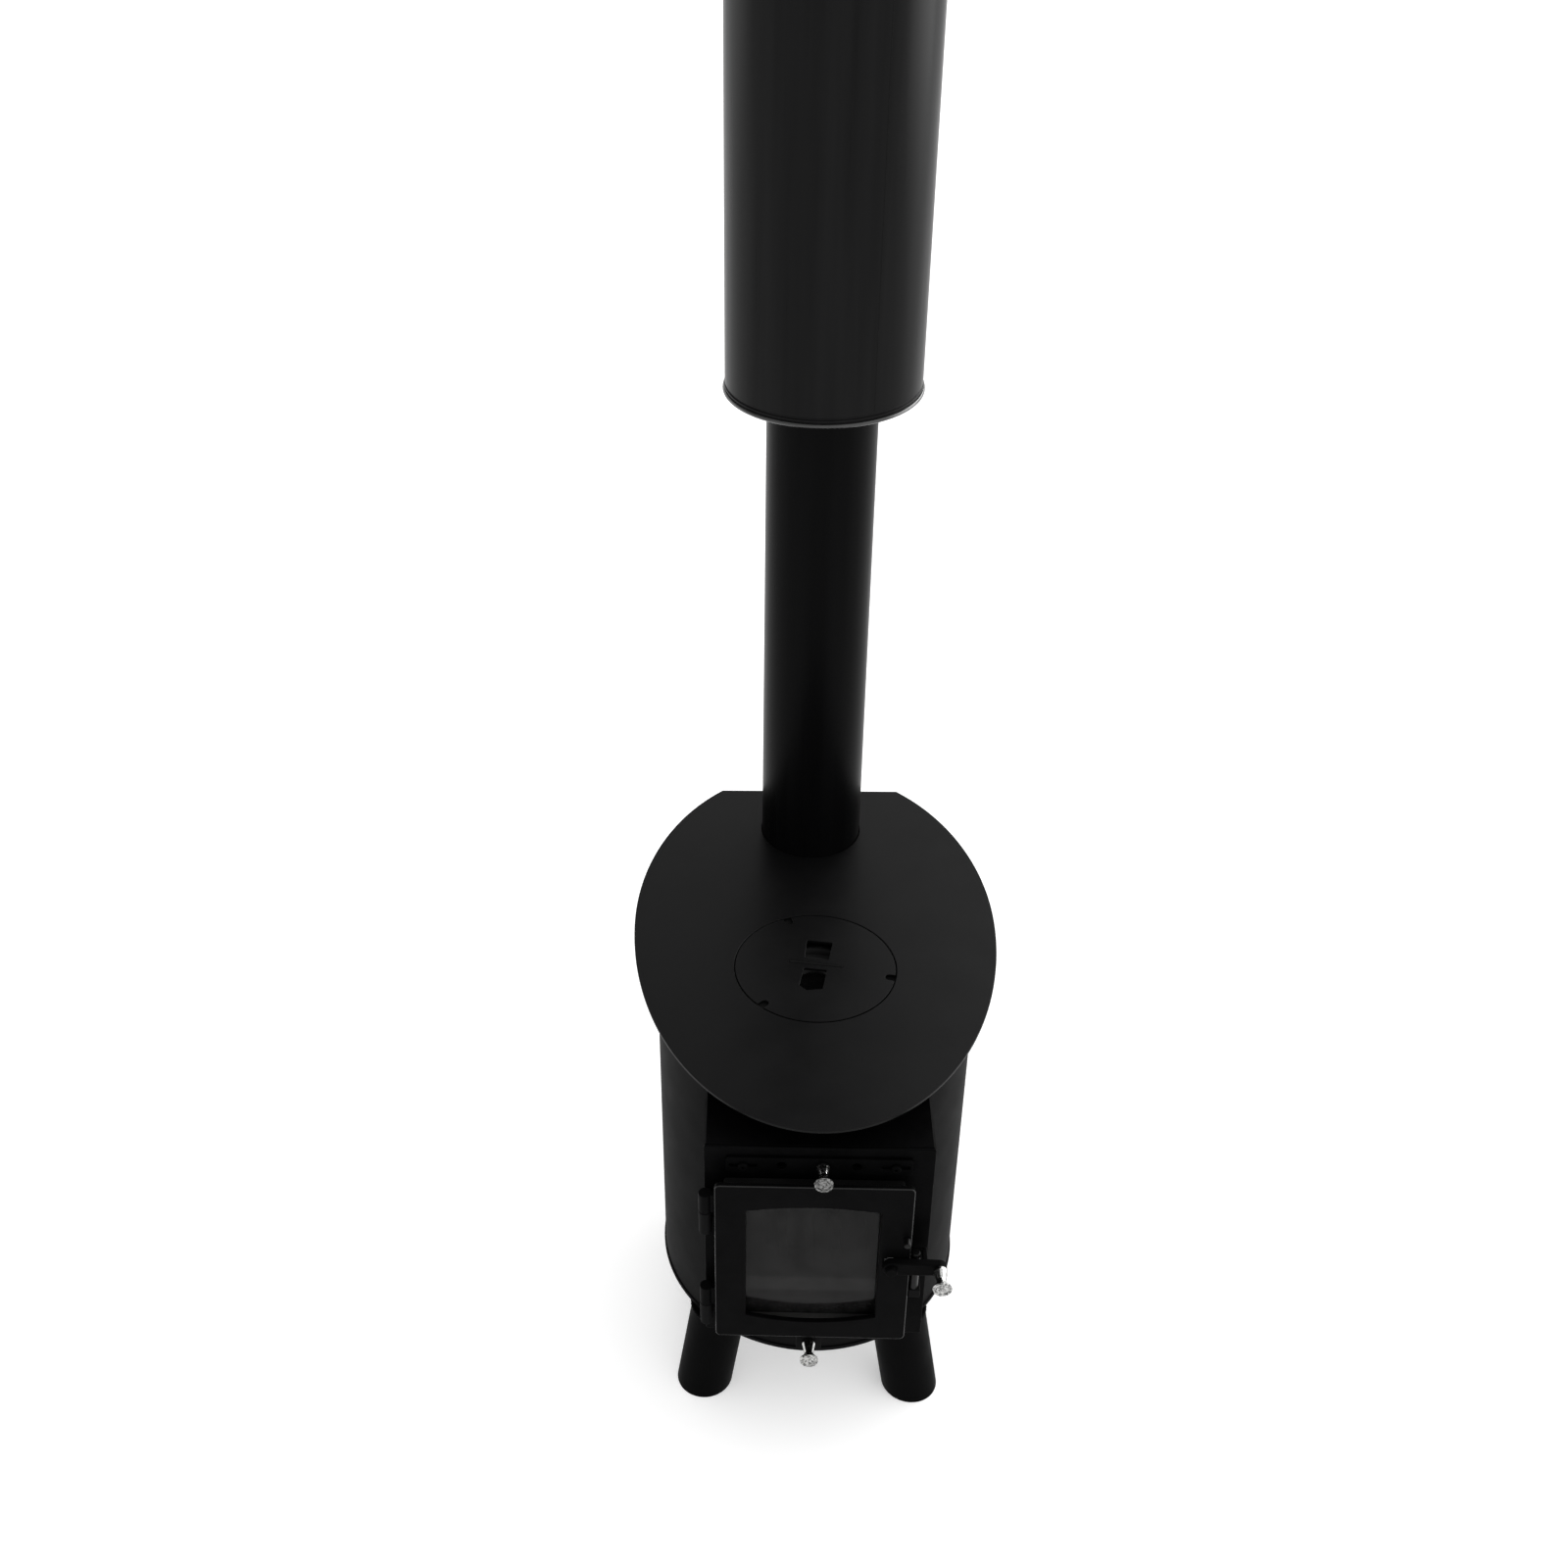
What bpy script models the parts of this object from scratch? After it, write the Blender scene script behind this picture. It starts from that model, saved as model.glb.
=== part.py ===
"""Small steel wood burning stove with a flat cooking plate, a glazed door and an insulated flue section.

Metres, +Z up.  The floor is z = 0, the door faces -Y, and the origin is under the middle of the
object's bounding box.  Every part is a named solid in the collection "wood_stove".
"""
import math

import bmesh
import bpy
from mathutils import Vector

# Driving dimensions ---------------------------------------------------------------------------
GAP = 0.0003                      # air left between pieces that rest on each other

PLATE_TOP = 0.480                 # cooking surface above the floor
PLATE_T = 0.003
PLATE_HALF_W = 0.1765
PLATE_MID_Y = 0.041               # where the oval plate is widest
PLATE_FRONT_LEN = 0.2835
PLATE_BACK_LEN = 0.2579
PLATE_BACK_Y = 0.2595             # the oval is cut straight here

BODY_Y = -0.029
BODY_R = 0.151
BODY_T = 0.004
BASE_R = 0.1525
BASE_Z = 0.102                    # underside of the base plate
BASE_T = 0.005

LID_R = 0.0765
LID_HOLE_R = 0.0775
LID_TURN = math.radians(-8.0)
LID_NOTCHES = (-3.0, 118.0, 235.0)  # turns of the three rim notches from the lift bar, in degrees
LIFT_BAR_R = 0.0011
LIFT_BAR_SINK = 0.0004            # the bar's axis lies this far under the lid's face
LIFT_BAR_HALF = 0.0255
SUPPORT_RING_R = (0.086, 0.067)

FLUE_Y = 0.193
PIPE_R = 0.0508
PIPE_T = 0.0015
JACKET_R = 0.0885
JACKET_T = 0.0015
JACKET_Z = 0.973
JACKET_LEN = 0.500
LINER_R = 0.0635
LINER_T = 0.001
LINER_SPIGOT = 0.018              # the liner stands out of the jacket by this much, for the next section
BAND_R = 0.0905
BAND_H = 0.0085
WOOL_Z = 0.0042                   # the insulation starts this far above the jacket's lower edge
SEAT_Z = 0.446                    # step in the spigot that carries the pipe
SPIGOT_R = (0.0560, 0.0513, 0.0460)
SMOKE_BOX_HALF_W = 0.075
SMOKE_BOX_Z = 0.365
SMOKE_BOX_BACK = 0.2545
SMOKE_WAY_HALF_W = 0.055
SMOKE_WAY_Z = (0.378, 0.462)

BOX_HALF_W = 0.1015
BOX_FRONT_Y = -0.234
BOX_LOW = 0.202
BOX_HIGH = 0.450
BOX_T = 0.004
BOX_BACK_Y = BODY_Y - 0.09        # the sleeve is cut to the round body before this
FACE_T = 0.003
FACE_WAY_HALF = (0.0695, 0.088)

DOOR_X = -0.004
DOOR_HALF_W = 0.088
DOOR_LOW = 0.216
DOOR_HIGH = 0.420
DOOR_FRONT_Y = -0.2525
DOOR_T = 0.005
GLASS_Z = 0.3165                  # middle of the glass, its channel and its seal
WINDOW_HALF_W = 0.060
WINDOW_LOW, WINDOW_LOW_MID = 0.2465, 0.2377
WINDOW_HIGH, WINDOW_HIGH_MID = 0.388, 0.3937
GLASS_HALF = (0.064, 0.0825)
GLASS_FRONT_Y = -0.2415
GLASS_T = 0.004
CHANNEL_IN = (0.0655, 0.084)
CHANNEL_WALL = 0.005
CHANNEL_GROOVE = 0.0075
CHANNEL_LIP = 0.002
ROPE_R = 0.0036

HINGE_X, HINGE_Y = -0.1005, -0.2435
HINGE_R, HINGE_BORE_R, HINGE_PIN_R = 0.006, 0.0034, 0.003
HINGE_TOPS = {"upper": 0.402, "lower": 0.277}
HINGE_LUG_H, HINGE_KNUCKLE_H = 0.0225, 0.0270

LATCH_X, LATCH_Z = 0.0667, 0.324
LATCH_Y = (-0.2610, -0.2535)
LATCH_HALF_H = 0.008
LATCH_KNOB_X = 0.1105
LATCH_KNOB_RISE = 0.0010          # the knob sits a little above the lever's middle line
HOOK_X = 0.0038                   # the hook reaches this far past the post's axis
HOOK_Y = (-0.2425, -0.2385)
HOOK_Z = (-0.0020, 0.0055)        # from the lever's middle line
HOOK_T = 0.004
STOP_PIN_X, STOP_PIN_Z, STOP_PIN_R, STOP_PIN_LEN = 0.0796, 0.3555, 0.003, 0.0085
POST_X, POST_Y, POST_R = 0.0893, -0.2475, 0.004
POST_Z = (0.2863, 0.333)

KNOB_LEN = 0.0222
AIR_Z = 0.430
AIR_KNOB_X = 0.0035
AIR_SLIDE_HALF = (0.082, 0.0095)
AIR_SLIDE_T = 0.0025
GUIDE_BOLT_X = 0.067
GUIDE_SLOT_HALF_H = 0.0025
AIR_HOLE_X, AIR_HOLE_R = 0.033, 0.0045
AIR_SLIDE_TRAVEL = 0.010
PRIMARY_Z = 0.190
PRIMARY_TRAVEL = 0.018
PRIMARY_HOLES = (-0.018, 0.0, 0.018)
PRIMARY_HOLE_Y = -0.212
PRIMARY_HOLE_R = 0.005
PRIMARY_BACK_Y = -0.184
PRIMARY_X = (-0.034, 0.026)       # left and right edges of the slide
PRIMARY_T = 0.003
PRIMARY_TAB_T = 0.004
RAIL_W, RAIL_H = 0.006, 0.007
RAIL_Y = (-0.226, -0.186)

LEG_R = 0.0285
LEG_T = 0.003
LEG_FOOT = 0.1075                 # foot centre from the body's axis, along X and along Y
LEG_SPLAY = math.radians(9.3)     # lean along X and along Y

BRICK_IN, BRICK_OUT = 0.122, 0.1455
BRICK_TOP = 0.360
BRICK_ARCS = (("back", 56, 124, 16), ("right", -44, 54, 24), ("left", 126, 224, 24))  # degrees, steps
GRATE_R, GRATE_Z, GRATE_T = 0.118, 0.160, 0.008
GRATE_FOOT_R, GRATE_FOOT_AT = 0.0055, 0.1115
BAFFLE_R, BAFFLE_T = 0.143, 0.012

STEEL = ((0.022, 0.022, 0.023), 0.55, 0.6)
DARK = ((0.012, 0.012, 0.012), 0.75, 0.2)
BRIGHT = ((0.72, 0.72, 0.70), 0.22, 1.0)
STAINLESS = ((0.10, 0.10, 0.10), 0.35, 0.9)
ROPE = ((0.16, 0.15, 0.14), 0.95, 0.0)
WOOL = ((0.55, 0.50, 0.38), 0.95, 0.0)
BRICK = ((0.62, 0.52, 0.38), 0.95, 0.0)
GLASS = ((0.05, 0.05, 0.05), 0.08, 0.0)


# Scene and helpers ----------------------------------------------------------------------------
def new_collection(name):
    collection = bpy.data.collections.new(name)
    bpy.context.scene.collection.children.link(collection)
    return collection


def clear_scene():
    for old in list(bpy.data.objects):
        bpy.data.objects.remove(old, do_unlink=True)


def put(obj, collection):
    for old in list(obj.users_collection):
        old.objects.unlink(obj)
    collection.objects.link(obj)
    return obj


def finish(obj, look):
    """Gives the object a material of its own and puts it with the parts."""
    colour, roughness, metallic = look
    material = bpy.data.materials.new(obj.name + "_material")
    material.use_nodes = True
    shader = material.node_tree.nodes["Principled BSDF"]
    shader.inputs["Base Color"].default_value = (*colour, 1.0)
    shader.inputs["Roughness"].default_value = roughness
    shader.inputs["Metallic"].default_value = metallic
    obj.data.materials.clear()
    obj.data.materials.append(material)
    return put(obj, PARTS)


def as_tool(obj):
    """Makes the object a hidden tool for a Boolean."""
    obj.hide_render = True
    obj.display_type = "WIRE"
    return put(obj, CUTTERS)


def boolean(obj, tool, operation="DIFFERENCE"):
    modifier = obj.modifiers.new(operation.lower(), "BOOLEAN")
    modifier.operation = operation
    modifier.object = as_tool(tool)
    return obj


def box(name, low, high):
    low, high = Vector(low), Vector(high)
    bpy.ops.mesh.primitive_cube_add(size=1.0, location=(low + high) / 2)
    obj = bpy.context.object
    obj.name = name
    obj.scale = high - low
    bpy.ops.object.transform_apply(location=False, rotation=False, scale=True)
    return obj


def rod(name, radius, start, end, segments=40):
    """A round bar between two points."""
    start, end = Vector(start), Vector(end)
    along = end - start
    bpy.ops.mesh.primitive_cylinder_add(vertices=segments, radius=radius, depth=along.length,
                                        location=(start + end) / 2)
    obj = bpy.context.object
    obj.name = name
    obj.rotation_euler = along.to_track_quat("Z", "Y").to_euler()
    return shade(obj)


def shade(obj):
    obj.data.shade_smooth()
    obj.data.set_sharp_from_angle(angle=math.radians(35))
    return obj


def turned(name, profile, at=(0, 0, 0), steps=48, closed=False, facing=None):
    """A profile of (radius, height) pairs turned about the vertical through `at`.

    The profile runs down its outer side; a closed one comes back up its inner side.
    """
    mesh = bpy.data.meshes.new(name)
    edges = [(i, i + 1) for i in range(len(profile) - 1)]
    if closed:
        edges.append((len(profile) - 1, 0))
    mesh.from_pydata([(r, 0.0, h) for r, h in profile], edges, [])
    obj = bpy.data.objects.new(name, mesh)
    obj.location = at
    if facing is not None:
        obj.rotation_euler = Vector(facing).to_track_quat("Z", "Y").to_euler()
    screw = obj.modifiers.new("turn", "SCREW")
    screw.steps = steps
    screw.render_steps = steps
    screw.use_merge_vertices = True
    screw.merge_threshold = 0.00001
    screw.use_smooth_shade = True
    return put(obj, PARTS)


def ring(name, outer, inner, low, high, at, steps=48):
    return turned(name, [(outer, high), (outer, low), (inner, low), (inner, high)], at, steps, closed=True)


def arc(middle, radius, start, end, count):
    """Points on an arc, in degrees; radius may be a pair for an oval."""
    rx, ry = radius if isinstance(radius, tuple) else (radius, radius)
    turns = [math.radians(start + (end - start) * i / count) for i in range(count + 1)]
    return [(middle[0] + rx * math.cos(t), middle[1] + ry * math.sin(t)) for t in turns]


def circle(middle, radius, count=40):
    return arc(middle, radius, 0, 360, count)[:-1]


def rounded(low, high, radius, count=4):
    """A rectangle with round corners."""
    (x0, y0), (x1, y1) = low, high
    corners = [((x1 - radius, y1 - radius), 0), ((x0 + radius, y1 - radius), 90),
               ((x0 + radius, y0 + radius), 180), ((x1 - radius, y0 + radius), 270)]
    return [p for middle, turn in corners for p in arc(middle, radius, turn, turn + 90, count)]


def plate(name, outlines, low, high, upright=False):
    """A flat plate from outlines, the first the rim and the rest holes.

    A level plate has outlines in X and Y between heights low and high.  An upright one has
    outlines in X and Z between two values of Y.
    """
    curve = bpy.data.curves.new(name, "CURVE")
    curve.dimensions = "2D"
    curve.fill_mode = "BOTH"
    curve.extrude = (high - low) / 2
    for points in outlines:
        spline = curve.splines.new("POLY")
        spline.points.add(len(points) - 1)
        for point, (u, v) in zip(spline.points, points):
            point.co = (u, v, 0.0, 1.0)
        spline.use_cyclic_u = True
    guide = bpy.data.objects.new(name + "_outline", curve)
    bpy.context.scene.collection.objects.link(guide)
    middle = (low + high) / 2
    if upright:
        guide.rotation_euler = (math.pi / 2, 0, 0)
        guide.location = (0, middle, 0)
    else:
        guide.location = (0, 0, middle)
    bpy.context.view_layer.update()
    mesh = bpy.data.meshes.new_from_object(guide.evaluated_get(bpy.context.evaluated_depsgraph_get()))
    work = bmesh.new()
    work.from_mesh(mesh)
    bmesh.ops.remove_doubles(work, verts=work.verts, dist=0.00001)
    bmesh.ops.recalc_face_normals(work, faces=work.faces)
    work.to_mesh(mesh)
    work.free()
    obj = bpy.data.objects.new(name, mesh)
    obj.matrix_world = guide.matrix_world.copy()
    bpy.data.objects.remove(guide)
    return put(obj, PARTS)


def frame_ring(name, half_in, half_out, middle, y_range, radius=0.004):
    """An upright rectangular ring round `middle`, given by its inner and outer half sizes."""
    cx, cz = middle
    rim = rounded((cx - half_out[0], cz - half_out[1]), (cx + half_out[0], cz + half_out[1]), radius)
    hole = rounded((cx - half_in[0], cz - half_in[1]), (cx + half_in[0], cz + half_in[1]), radius)
    return plate(name, [rim, hole], *y_range, upright=True)


# Body and top plate ---------------------------------------------------------------------------
def plate_outline():
    """The oval rim of the cooking plate, cut straight at the back."""
    cut = math.degrees(math.asin((PLATE_BACK_Y - PLATE_MID_Y) / PLATE_BACK_LEN))
    front = arc((0, PLATE_MID_Y), (PLATE_HALF_W, PLATE_FRONT_LEN), 180, 360, 44)
    right = arc((0, PLATE_MID_Y), (PLATE_HALF_W, PLATE_BACK_LEN), 0, cut, 14)
    left = arc((0, PLATE_MID_Y), (PLATE_HALF_W, PLATE_BACK_LEN), 180 - cut, 180, 14)
    return front + right[1:] + left[:-1]


def build_body():
    under = PLATE_TOP - PLATE_T
    shell = ring("body_shell", BODY_R, BODY_R - BODY_T, BASE_Z + BASE_T + GAP, under - GAP,
                 (0, BODY_Y, 0), steps=64)
    inside = BOX_HALF_W - BOX_T
    boolean(shell, box("door_way", (-inside, BOX_FRONT_Y, BOX_LOW + BOX_T),
                       (inside, BODY_Y - 0.02, BOX_HIGH - BOX_T)))
    boolean(shell, box("smoke_way", (-SMOKE_WAY_HALF_W, BODY_Y + 0.02, SMOKE_WAY_Z[0]),
                       (SMOKE_WAY_HALF_W, FLUE_Y, SMOKE_WAY_Z[1])))
    finish(shell, STEEL)
    finish(rod("base_plate", BASE_R, (0, BODY_Y, BASE_Z), (0, BODY_Y, BASE_Z + BASE_T), 64), STEEL)
    holes = [circle((0, BODY_Y), LID_HOLE_R, 56), circle((0, FLUE_Y), PIPE_R + 0.0005, 48)]
    finish(plate("top_plate", [plate_outline()] + holes, under, PLATE_TOP), STEEL)
    high = under - GAP
    finish(ring("lid_support_ring", *SUPPORT_RING_R, high - 0.006, high, (0, BODY_Y, 0)), STEEL)


def build_legs():
    drop = BASE_Z - GAP
    lean = math.tan(LEG_SPLAY)
    for side, sx in (("left", -1), ("right", 1)):
        for end, sy in (("front", -1), ("rear", 1)):
            foot = Vector((sx * LEG_FOOT, BODY_Y + sy * LEG_FOOT, 0))
            step = Vector((-sx * lean, -sy * lean, 1))
            leg = rod(f"leg_{end}_{side}", LEG_R, foot - step * 0.05, foot + step * 0.16, 36)
            boolean(leg, box("leg_slab", (-0.3, -0.3, 0), (0.3, 0.3, drop)), "INTERSECT")
            bore_end = foot + step * (drop - 0.012)
            boolean(leg, rod("leg_bore", LEG_R - LEG_T, foot - step * 0.06, bore_end, 36))
            finish(leg, STEEL)


def build_lid():
    under = PLATE_TOP - PLATE_T
    middle = Vector((0, BODY_Y))

    def spin(points, turn=LID_TURN):
        c, s = math.cos(turn), math.sin(turn)
        return [(middle.x + c * x - s * y, middle.y + s * x + c * y) for x, y in points]

    rear_hole = spin([(-0.0115, 0.0115), (0.0115, 0.0115), (0.0125, 0.0380), (-0.0125, 0.0380)])
    front_hole = spin([(-0.0105, -0.0025), (-0.0120, -0.0280), (-0.0045, -0.0340), (0.0105, -0.0300),
                       (0.0115, -0.0025)])
    lid = plate("hotplate_lid", [circle(middle, LID_R, 64), rear_hole, front_hole], under, PLATE_TOP)
    for number, turn in enumerate(LID_NOTCHES):
        angle = LID_TURN + math.radians(turn)
        direction = Vector((math.cos(angle), math.sin(angle), 0))
        notch = box(f"rim_notch_{number}", (-0.0095, -0.004, -0.02), (0.012, 0.004, 0.02))
        notch.location = Vector((*middle, PLATE_TOP)) + direction * LID_R
        notch.rotation_euler = (0, 0, LID_TURN + math.radians(turn))
        boolean(lid, notch)
    groove_z = PLATE_TOP - LIFT_BAR_SINK
    ends = [Vector((*p, groove_z)) for p in spin([(-LIFT_BAR_HALF, 0.0045), (LIFT_BAR_HALF, 0.0045)])]
    along = (ends[1] - ends[0]).normalized() * 2 * GAP
    boolean(lid, rod("bar_groove", LIFT_BAR_R + 2 * GAP, ends[0] - along, ends[1] + along, 16))
    finish(lid, STEEL)
    finish(rod("lid_lift_bar", LIFT_BAR_R, ends[0], ends[1], 16), STEEL)
    top = under - GAP
    cup = [(0.0440, top), (0.0435, top - 0.008), (0.036, top - 0.019), (0.020, top - 0.024),
           (0.0, top - 0.025), (0.0, top - 0.0235), (0.0195, top - 0.0225), (0.035, top - 0.0178),
           (0.042, top - 0.0075), (0.0425, top)]
    finish(turned("lid_pocket", cup + [cup[0]], (middle.x, middle.y + 0.002, 0), 40), STEEL)


# Flue -----------------------------------------------------------------------------------------
def build_flue():
    under = PLATE_TOP - PLATE_T - GAP
    at = (0, FLUE_Y, 0)
    start = BODY_Y + math.sqrt((BODY_R + GAP) ** 2 - SMOKE_BOX_HALF_W ** 2) - 0.02
    smoke = box("smoke_box", (-SMOKE_BOX_HALF_W, start, SMOKE_BOX_Z),
                (SMOKE_BOX_HALF_W, SMOKE_BOX_BACK, under))
    inner = SMOKE_BOX_HALF_W - BOX_T
    boolean(smoke, box("smoke_space", (-inner, start - 0.01, SMOKE_BOX_Z + BOX_T),
                       (inner, SMOKE_BOX_BACK - BOX_T, under + 0.01)))
    boolean(smoke, rod("body_clearance", BODY_R + GAP, (0, BODY_Y, 0.3), (0, BODY_Y, 0.6), 64))
    finish(smoke, STEEL)
    outer, socket, bore = SPIGOT_R
    foot = SEAT_Z - 0.010
    spigot = [(outer, under), (outer, foot), (bore, foot), (bore, SEAT_Z), (socket, SEAT_Z), (socket, under)]
    finish(turned("flue_spigot", spigot, at, closed=True), STEEL)
    inside = LINER_R - LINER_T
    low = JACKET_Z + WOOL_Z
    adaptor_top = JACKET_Z + 0.055
    finish(ring("flue_pipe", PIPE_R, PIPE_R - PIPE_T, SEAT_Z + GAP, adaptor_top - 0.015, at), STEEL)
    adaptor = [(inside - GAP, adaptor_top), (inside - GAP, low), (PIPE_R + GAP, low),
               (PIPE_R + GAP, adaptor_top - 0.012)]
    finish(turned("flue_adaptor", adaptor, at, closed=True), STAINLESS)
    top = JACKET_Z + JACKET_LEN
    finish(ring("flue_liner", LINER_R, inside, low, top + LINER_SPIGOT, at), STAINLESS)
    wool_r = (JACKET_R - JACKET_T - GAP, LINER_R + GAP)
    finish(ring("flue_insulation", *wool_r, low, top - 0.003 - GAP, at, 32), WOOL)
    band_top = JACKET_Z + BAND_H
    finish(ring("flue_jacket", JACKET_R, JACKET_R - JACKET_T, band_top + GAP, top, at, 56), STAINLESS)
    base = low - GAP
    band = [(JACKET_R, band_top), (BAND_R, band_top - 0.002), (BAND_R, JACKET_Z + 0.002),
            (JACKET_R, JACKET_Z), (PIPE_R + 0.001, JACKET_Z), (PIPE_R + 0.001, base),
            (JACKET_R - JACKET_T, base), (JACKET_R - JACKET_T, band_top)]
    finish(turned("jacket_bottom_band", band, at, 56, closed=True), STAINLESS)
    finish(ring("jacket_top_ring", *wool_r, top - 0.003, top, at), STAINLESS)


# Door box and air controls --------------------------------------------------------------------
def knob(name, base, facing=(0, -1, 0), look=BRIGHT):
    """A turned trumpet knob: a foot, a waist and a flared disc, with its axis along `facing`."""
    length = KNOB_LEN
    profile = [(0.0, length), (0.0080, length), (0.0088, length - 0.0010), (0.0086, length - 0.0030),
               (0.0062, length - 0.0065), (0.0042, length - 0.0110), (0.0048, 0.0055), (0.0065, 0.0020),
               (0.0065, 0.0), (0.0, 0.0)]
    return finish(turned(name, profile, base, 32, facing=facing), look)


def build_door_box():
    sleeve = box("door_box", (-BOX_HALF_W, BOX_FRONT_Y + FACE_T + GAP, BOX_LOW),
                 (BOX_HALF_W, BOX_BACK_Y, BOX_HIGH))
    inner = BOX_HALF_W - BOX_T
    boolean(sleeve, box("box_space", (-inner, -0.40, BOX_LOW + BOX_T), (inner, 0.0, BOX_HIGH - BOX_T)))
    boolean(sleeve, rod("box_body_clearance", BODY_R + GAP, (0, BODY_Y, 0.1), (0, BODY_Y, 0.6), 64))
    for number, x in enumerate(PRIMARY_HOLES):
        boolean(sleeve, rod(f"inlet_{number}", PRIMARY_HOLE_R, (x, PRIMARY_HOLE_Y, BOX_LOW - 0.05),
                            (x, PRIMARY_HOLE_Y, BOX_LOW + 0.04), 20))
    finish(sleeve, STEEL)
    half_w, half_h = FACE_WAY_HALF
    way = rounded((DOOR_X - half_w, GLASS_Z - half_h), (DOOR_X + half_w, GLASS_Z + half_h), 0.004)
    holes = [circle((sign * AIR_HOLE_X, AIR_Z), AIR_HOLE_R, 20) for sign in (-1, 1)]
    rim = rounded((-BOX_HALF_W, BOX_LOW), (BOX_HALF_W, BOX_HIGH), 0.002, 3)
    finish(plate("door_box_face", [rim, way] + holes, BOX_FRONT_Y, BOX_FRONT_Y + FACE_T, upright=True),
           STEEL)


def build_air_slides():
    back = BOX_FRONT_Y - GAP
    front = back - AIR_SLIDE_T
    half_w, half_h = AIR_SLIDE_HALF
    rim = rounded((-half_w, AIR_Z - half_h), (half_w, AIR_Z + half_h), 0.003)
    holes = [circle((sign * AIR_HOLE_X, AIR_Z), AIR_HOLE_R, 20) for sign in (-1, 1)]
    reach = AIR_SLIDE_TRAVEL + GUIDE_SLOT_HALF_H
    slots = [rounded((sign * GUIDE_BOLT_X - reach, AIR_Z - GUIDE_SLOT_HALF_H),
                     (sign * GUIDE_BOLT_X + reach, AIR_Z + GUIDE_SLOT_HALF_H), 0.00245) for sign in (-1, 1)]
    finish(plate("secondary_air_slide", [rim] + holes + slots, front, back, upright=True), STEEL)
    knob("secondary_air_knob", (AIR_KNOB_X, front - GAP, AIR_Z))
    for side, sign in (("left", -1), ("right", 1)):
        head = front - GAP
        bolt = [(0.0, 0.0030), (0.0035, 0.0030), (0.0045, 0.0020), (0.0045, 0.0), (0.0021, 0.0),
                (0.0021, head - back), (0.0, head - back)]
        finish(turned(f"slide_guide_bolt_{side}", bolt, (sign * GUIDE_BOLT_X, head, AIR_Z), 20,
                      facing=(0, -1, 0)), DARK)
    top = BOX_LOW - GAP
    left_x, right_x = PRIMARY_X
    tray = box("primary_air_slide", (left_x, BOX_FRONT_Y - 0.001, top - PRIMARY_T),
               (right_x, PRIMARY_BACK_Y, top))
    for number, x in enumerate(PRIMARY_HOLES):
        y = PRIMARY_HOLE_Y + PRIMARY_TRAVEL
        boolean(tray, rod(f"damper_{number}", PRIMARY_HOLE_R, (x, y, top - 0.05), (x, y, top + 0.04), 20))
    tab_y = BOX_FRONT_Y - PRIMARY_TAB_T
    tab = box("slide_tab", (DOOR_X - 0.012, tab_y, PRIMARY_Z - 0.010), (DOOR_X + 0.012, BOX_FRONT_Y, top))
    finish(boolean(tray, tab, "UNION"), STEEL)
    knob("primary_air_knob", (DOOR_X, tab_y - GAP, PRIMARY_Z))
    for side, edge, sign in (("left", left_x, -1), ("right", right_x, 1)):
        outer = edge + sign * RAIL_W
        near = edge + sign * GAP
        low, high = sorted((outer, near))
        rail = box(f"primary_slide_rail_{side}", (low, RAIL_Y[0], top - RAIL_H), (high, RAIL_Y[1], top))
        low, high = sorted((outer, edge - sign * 0.004))
        lip = box(f"rail_lip_{side}", (low, RAIL_Y[0], top - RAIL_H),
                  (high, RAIL_Y[1], top - PRIMARY_T - GAP))
        finish(boolean(rail, lip, "UNION"), STEEL)


# Door -----------------------------------------------------------------------------------------
def window_outline():
    """The glass opening: straight sides, with a shallow arch at the top and at the bottom."""
    def bow(edge, crown, count=12):
        rise = crown - edge
        return [(DOOR_X - WINDOW_HALF_W + 2 * WINDOW_HALF_W * i / count,
                 edge + rise * math.sin(math.pi * i / count) ** 0.9) for i in range(count + 1)]
    return bow(WINDOW_LOW, WINDOW_LOW_MID) + bow(WINDOW_HIGH, WINDOW_HIGH_MID)[::-1]


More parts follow.
